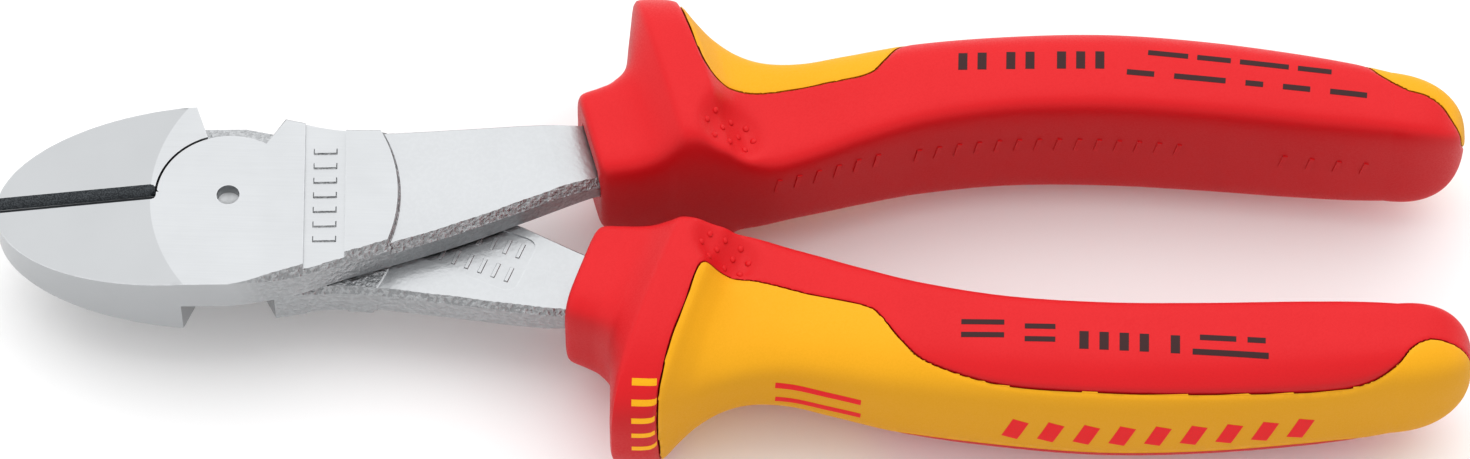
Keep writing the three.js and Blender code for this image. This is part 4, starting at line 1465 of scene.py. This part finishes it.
class PLIERS_OT_grip_bars(bpy.types.Operator):
    """Lays the printed and moulded bars on the grips"""

    bl_idname = "pliers.grip_bars"
    bl_label = "Bars on the grips"

    def execute(self, context):
        grip = context.scene.pliers_grip
        group = group_once("bars_on_surface", bars_group)
        kinds = (
            ("dark_bars", "red_sleeve", printed_marks(), grip.print_thickness, "red_grip", "dark_print"),
            ("crest_bars", "red_sleeve", crest_marks(), grip.print_thickness, "yellow_grip", "yellow_print"),
            ("side_bars", "yellow_panel", side_marks(), grip.print_thickness, "red_grip", "red_print"),
            ("wall_bars", "red_sleeve", wall_marks(), grip.moulded_mark, "red_grip", "red_grip"),
        )
        for side in (FRONT, REAR):
            word = WORD_OF_SIDE[side]
            for name, layer, marks, thickness, slot, finish_name in kinds:
                surface = bpy.data.objects[f"{word}_{layer}"]
                laid_on(f"{word}_{name}", side, surface, marks, group,
                        {"Thickness": thickness, "Taper": 0.05}, finish_name)
        return {"FINISHED"}


# ---- stage -----------------------------------------------------------------------------------------------

CAMERA_DISTANCE = 0.8
CAMERA_ELEVATION = math.radians(56)
CAMERA_AZIMUTH = math.radians(2.05)
CAMERA_TARGET = PIVOT + Vector((61.883, 0.33, 0)) * MM
CAMERA_LENS = 160.0
CAMERA_SENSOR = 36.0
FLOOR_HALF = 6.0


def softbox(name, location, target, size, power):
    light = bpy.data.lights.new(name, "AREA")
    light.shape = "RECTANGLE"
    light.size, light.size_y = size
    light.energy = power
    lamp = bpy.data.objects.new(name, light)
    lamp.location = location
    lamp.rotation_euler = (Vector(target) - Vector(location)).to_track_quat("-Z", "Y").to_euler()
    bpy.context.scene.collection.objects.link(lamp)


class PLIERS_OT_stage(bpy.types.Operator):
    """Sets the pale floor, the soft studio light and the camera"""

    bl_idname = "pliers.stage"
    bl_label = "Stage"

    def execute(self, context):
        scene = context.scene
        mesh = bpy.data.meshes.new("floor")
        low = CAD_BOX[0].z
        corners = [(x * FLOOR_HALF, y * FLOOR_HALF, low) for x, y in ((-1, -1), (1, -1), (1, 1), (-1, 1))]
        mesh.from_pydata(corners, [], [(0, 1, 2, 3)])
        floor = bpy.data.objects.new("floor", mesh)
        scene.collection.objects.link(floor)
        material, nodes, shader = new_material("pale_floor")
        cloud = placed(nodes, "handling", handling_group, {"Size": 0.4})
        tint(nodes, shader, scene.pliers_finish.floor, ((cloud.outputs["Cloud"], 0.99),))
        nodes.give(shader.inputs["Roughness"], 0.9)
        nodes.give(shader.inputs["Specular IOR Level"], 0.1)
        mesh.materials.append(material)

        world = bpy.data.worlds.new("studio")
        world.use_nodes = True
        background = world.node_tree.nodes["Background"]
        background.inputs["Color"].default_value = (1.0, 1.0, 1.0, 1.0)
        background.inputs["Strength"].default_value = 0.98
        scene.world = world
        softbox("overhead", (0.0, 0.6, 1.2), (0.0, 0.0, 0.0), (2.4, 1.6), 12.5)
        softbox("left_fill", (-1.2, -0.2, 0.7), (0.0, 0.0, 0.0), (0.8, 0.8), 1.5)

        back = Vector((
            math.sin(CAMERA_AZIMUTH) * math.cos(CAMERA_ELEVATION),
            -math.cos(CAMERA_AZIMUTH) * math.cos(CAMERA_ELEVATION),
            math.sin(CAMERA_ELEVATION),
        ))
        lens = bpy.data.cameras.new("camera")
        lens.lens = CAMERA_LENS
        lens.sensor_width = CAMERA_SENSOR
        lens.sensor_fit = "HORIZONTAL"
        lens.clip_start = 0.05
        camera = bpy.data.objects.new("camera", lens)
        camera.location = CAMERA_TARGET + back * CAMERA_DISTANCE
        camera.rotation_euler = (-back).to_track_quat("-Z", "Y").to_euler()
        scene.collection.objects.link(camera)
        scene.camera = camera
        scene.view_settings.view_transform = "Standard"
        return {"FINISHED"}


class PLIERS_PT_pieces(bpy.types.Panel):
    """Lists the steps that build the pliers, with their sizes and colours"""

    bl_label = "Pliers"
    bl_idname = "PLIERS_PT_pieces"
    bl_space_type = "VIEW_3D"
    bl_region_type = "UI"
    bl_category = "Pliers"

    def draw(self, context):
        layout = self.layout
        for step in STEPS:
            layout.operator(step.bl_idname)
        for group in (context.scene.pliers_head, context.scene.pliers_grip, context.scene.pliers_finish):
            box = layout.box()
            for name in group.__annotations__:
                box.prop(group, name)


STEPS = (
    PLIERS_OT_stage, PLIERS_OT_levers, PLIERS_OT_axle, PLIERS_OT_head_bars, PLIERS_OT_grips,
    PLIERS_OT_inner_sleeves, PLIERS_OT_pips, PLIERS_OT_grip_bars,
)
SETTINGS = {"pliers_head": PliersHead, "pliers_grip": PliersGrip, "pliers_finish": PliersFinish}


def register():
    for group in SETTINGS.values():
        bpy.utils.register_class(group)
    for name, group in SETTINGS.items():
        setattr(bpy.types.Scene, name, PointerProperty(type=group))
    for step in (*STEPS, PLIERS_PT_pieces):
        bpy.utils.register_class(step)


def unregister():
    for step in (PLIERS_PT_pieces, *reversed(STEPS)):
        bpy.utils.unregister_class(step)
    for name, group in SETTINGS.items():
        delattr(bpy.types.Scene, name)
        bpy.utils.unregister_class(group)


def main():
    register()
    bpy.ops.pliers.stage()
    bpy.ops.pliers.levers()
    bpy.ops.pliers.axle()
    bpy.ops.pliers.head_bars()
    bpy.ops.pliers.grips()
    bpy.ops.pliers.inner_sleeves()
    bpy.ops.pliers.pips()
    bpy.ops.pliers.grip_bars()


if __name__ == "__main__":
    main()
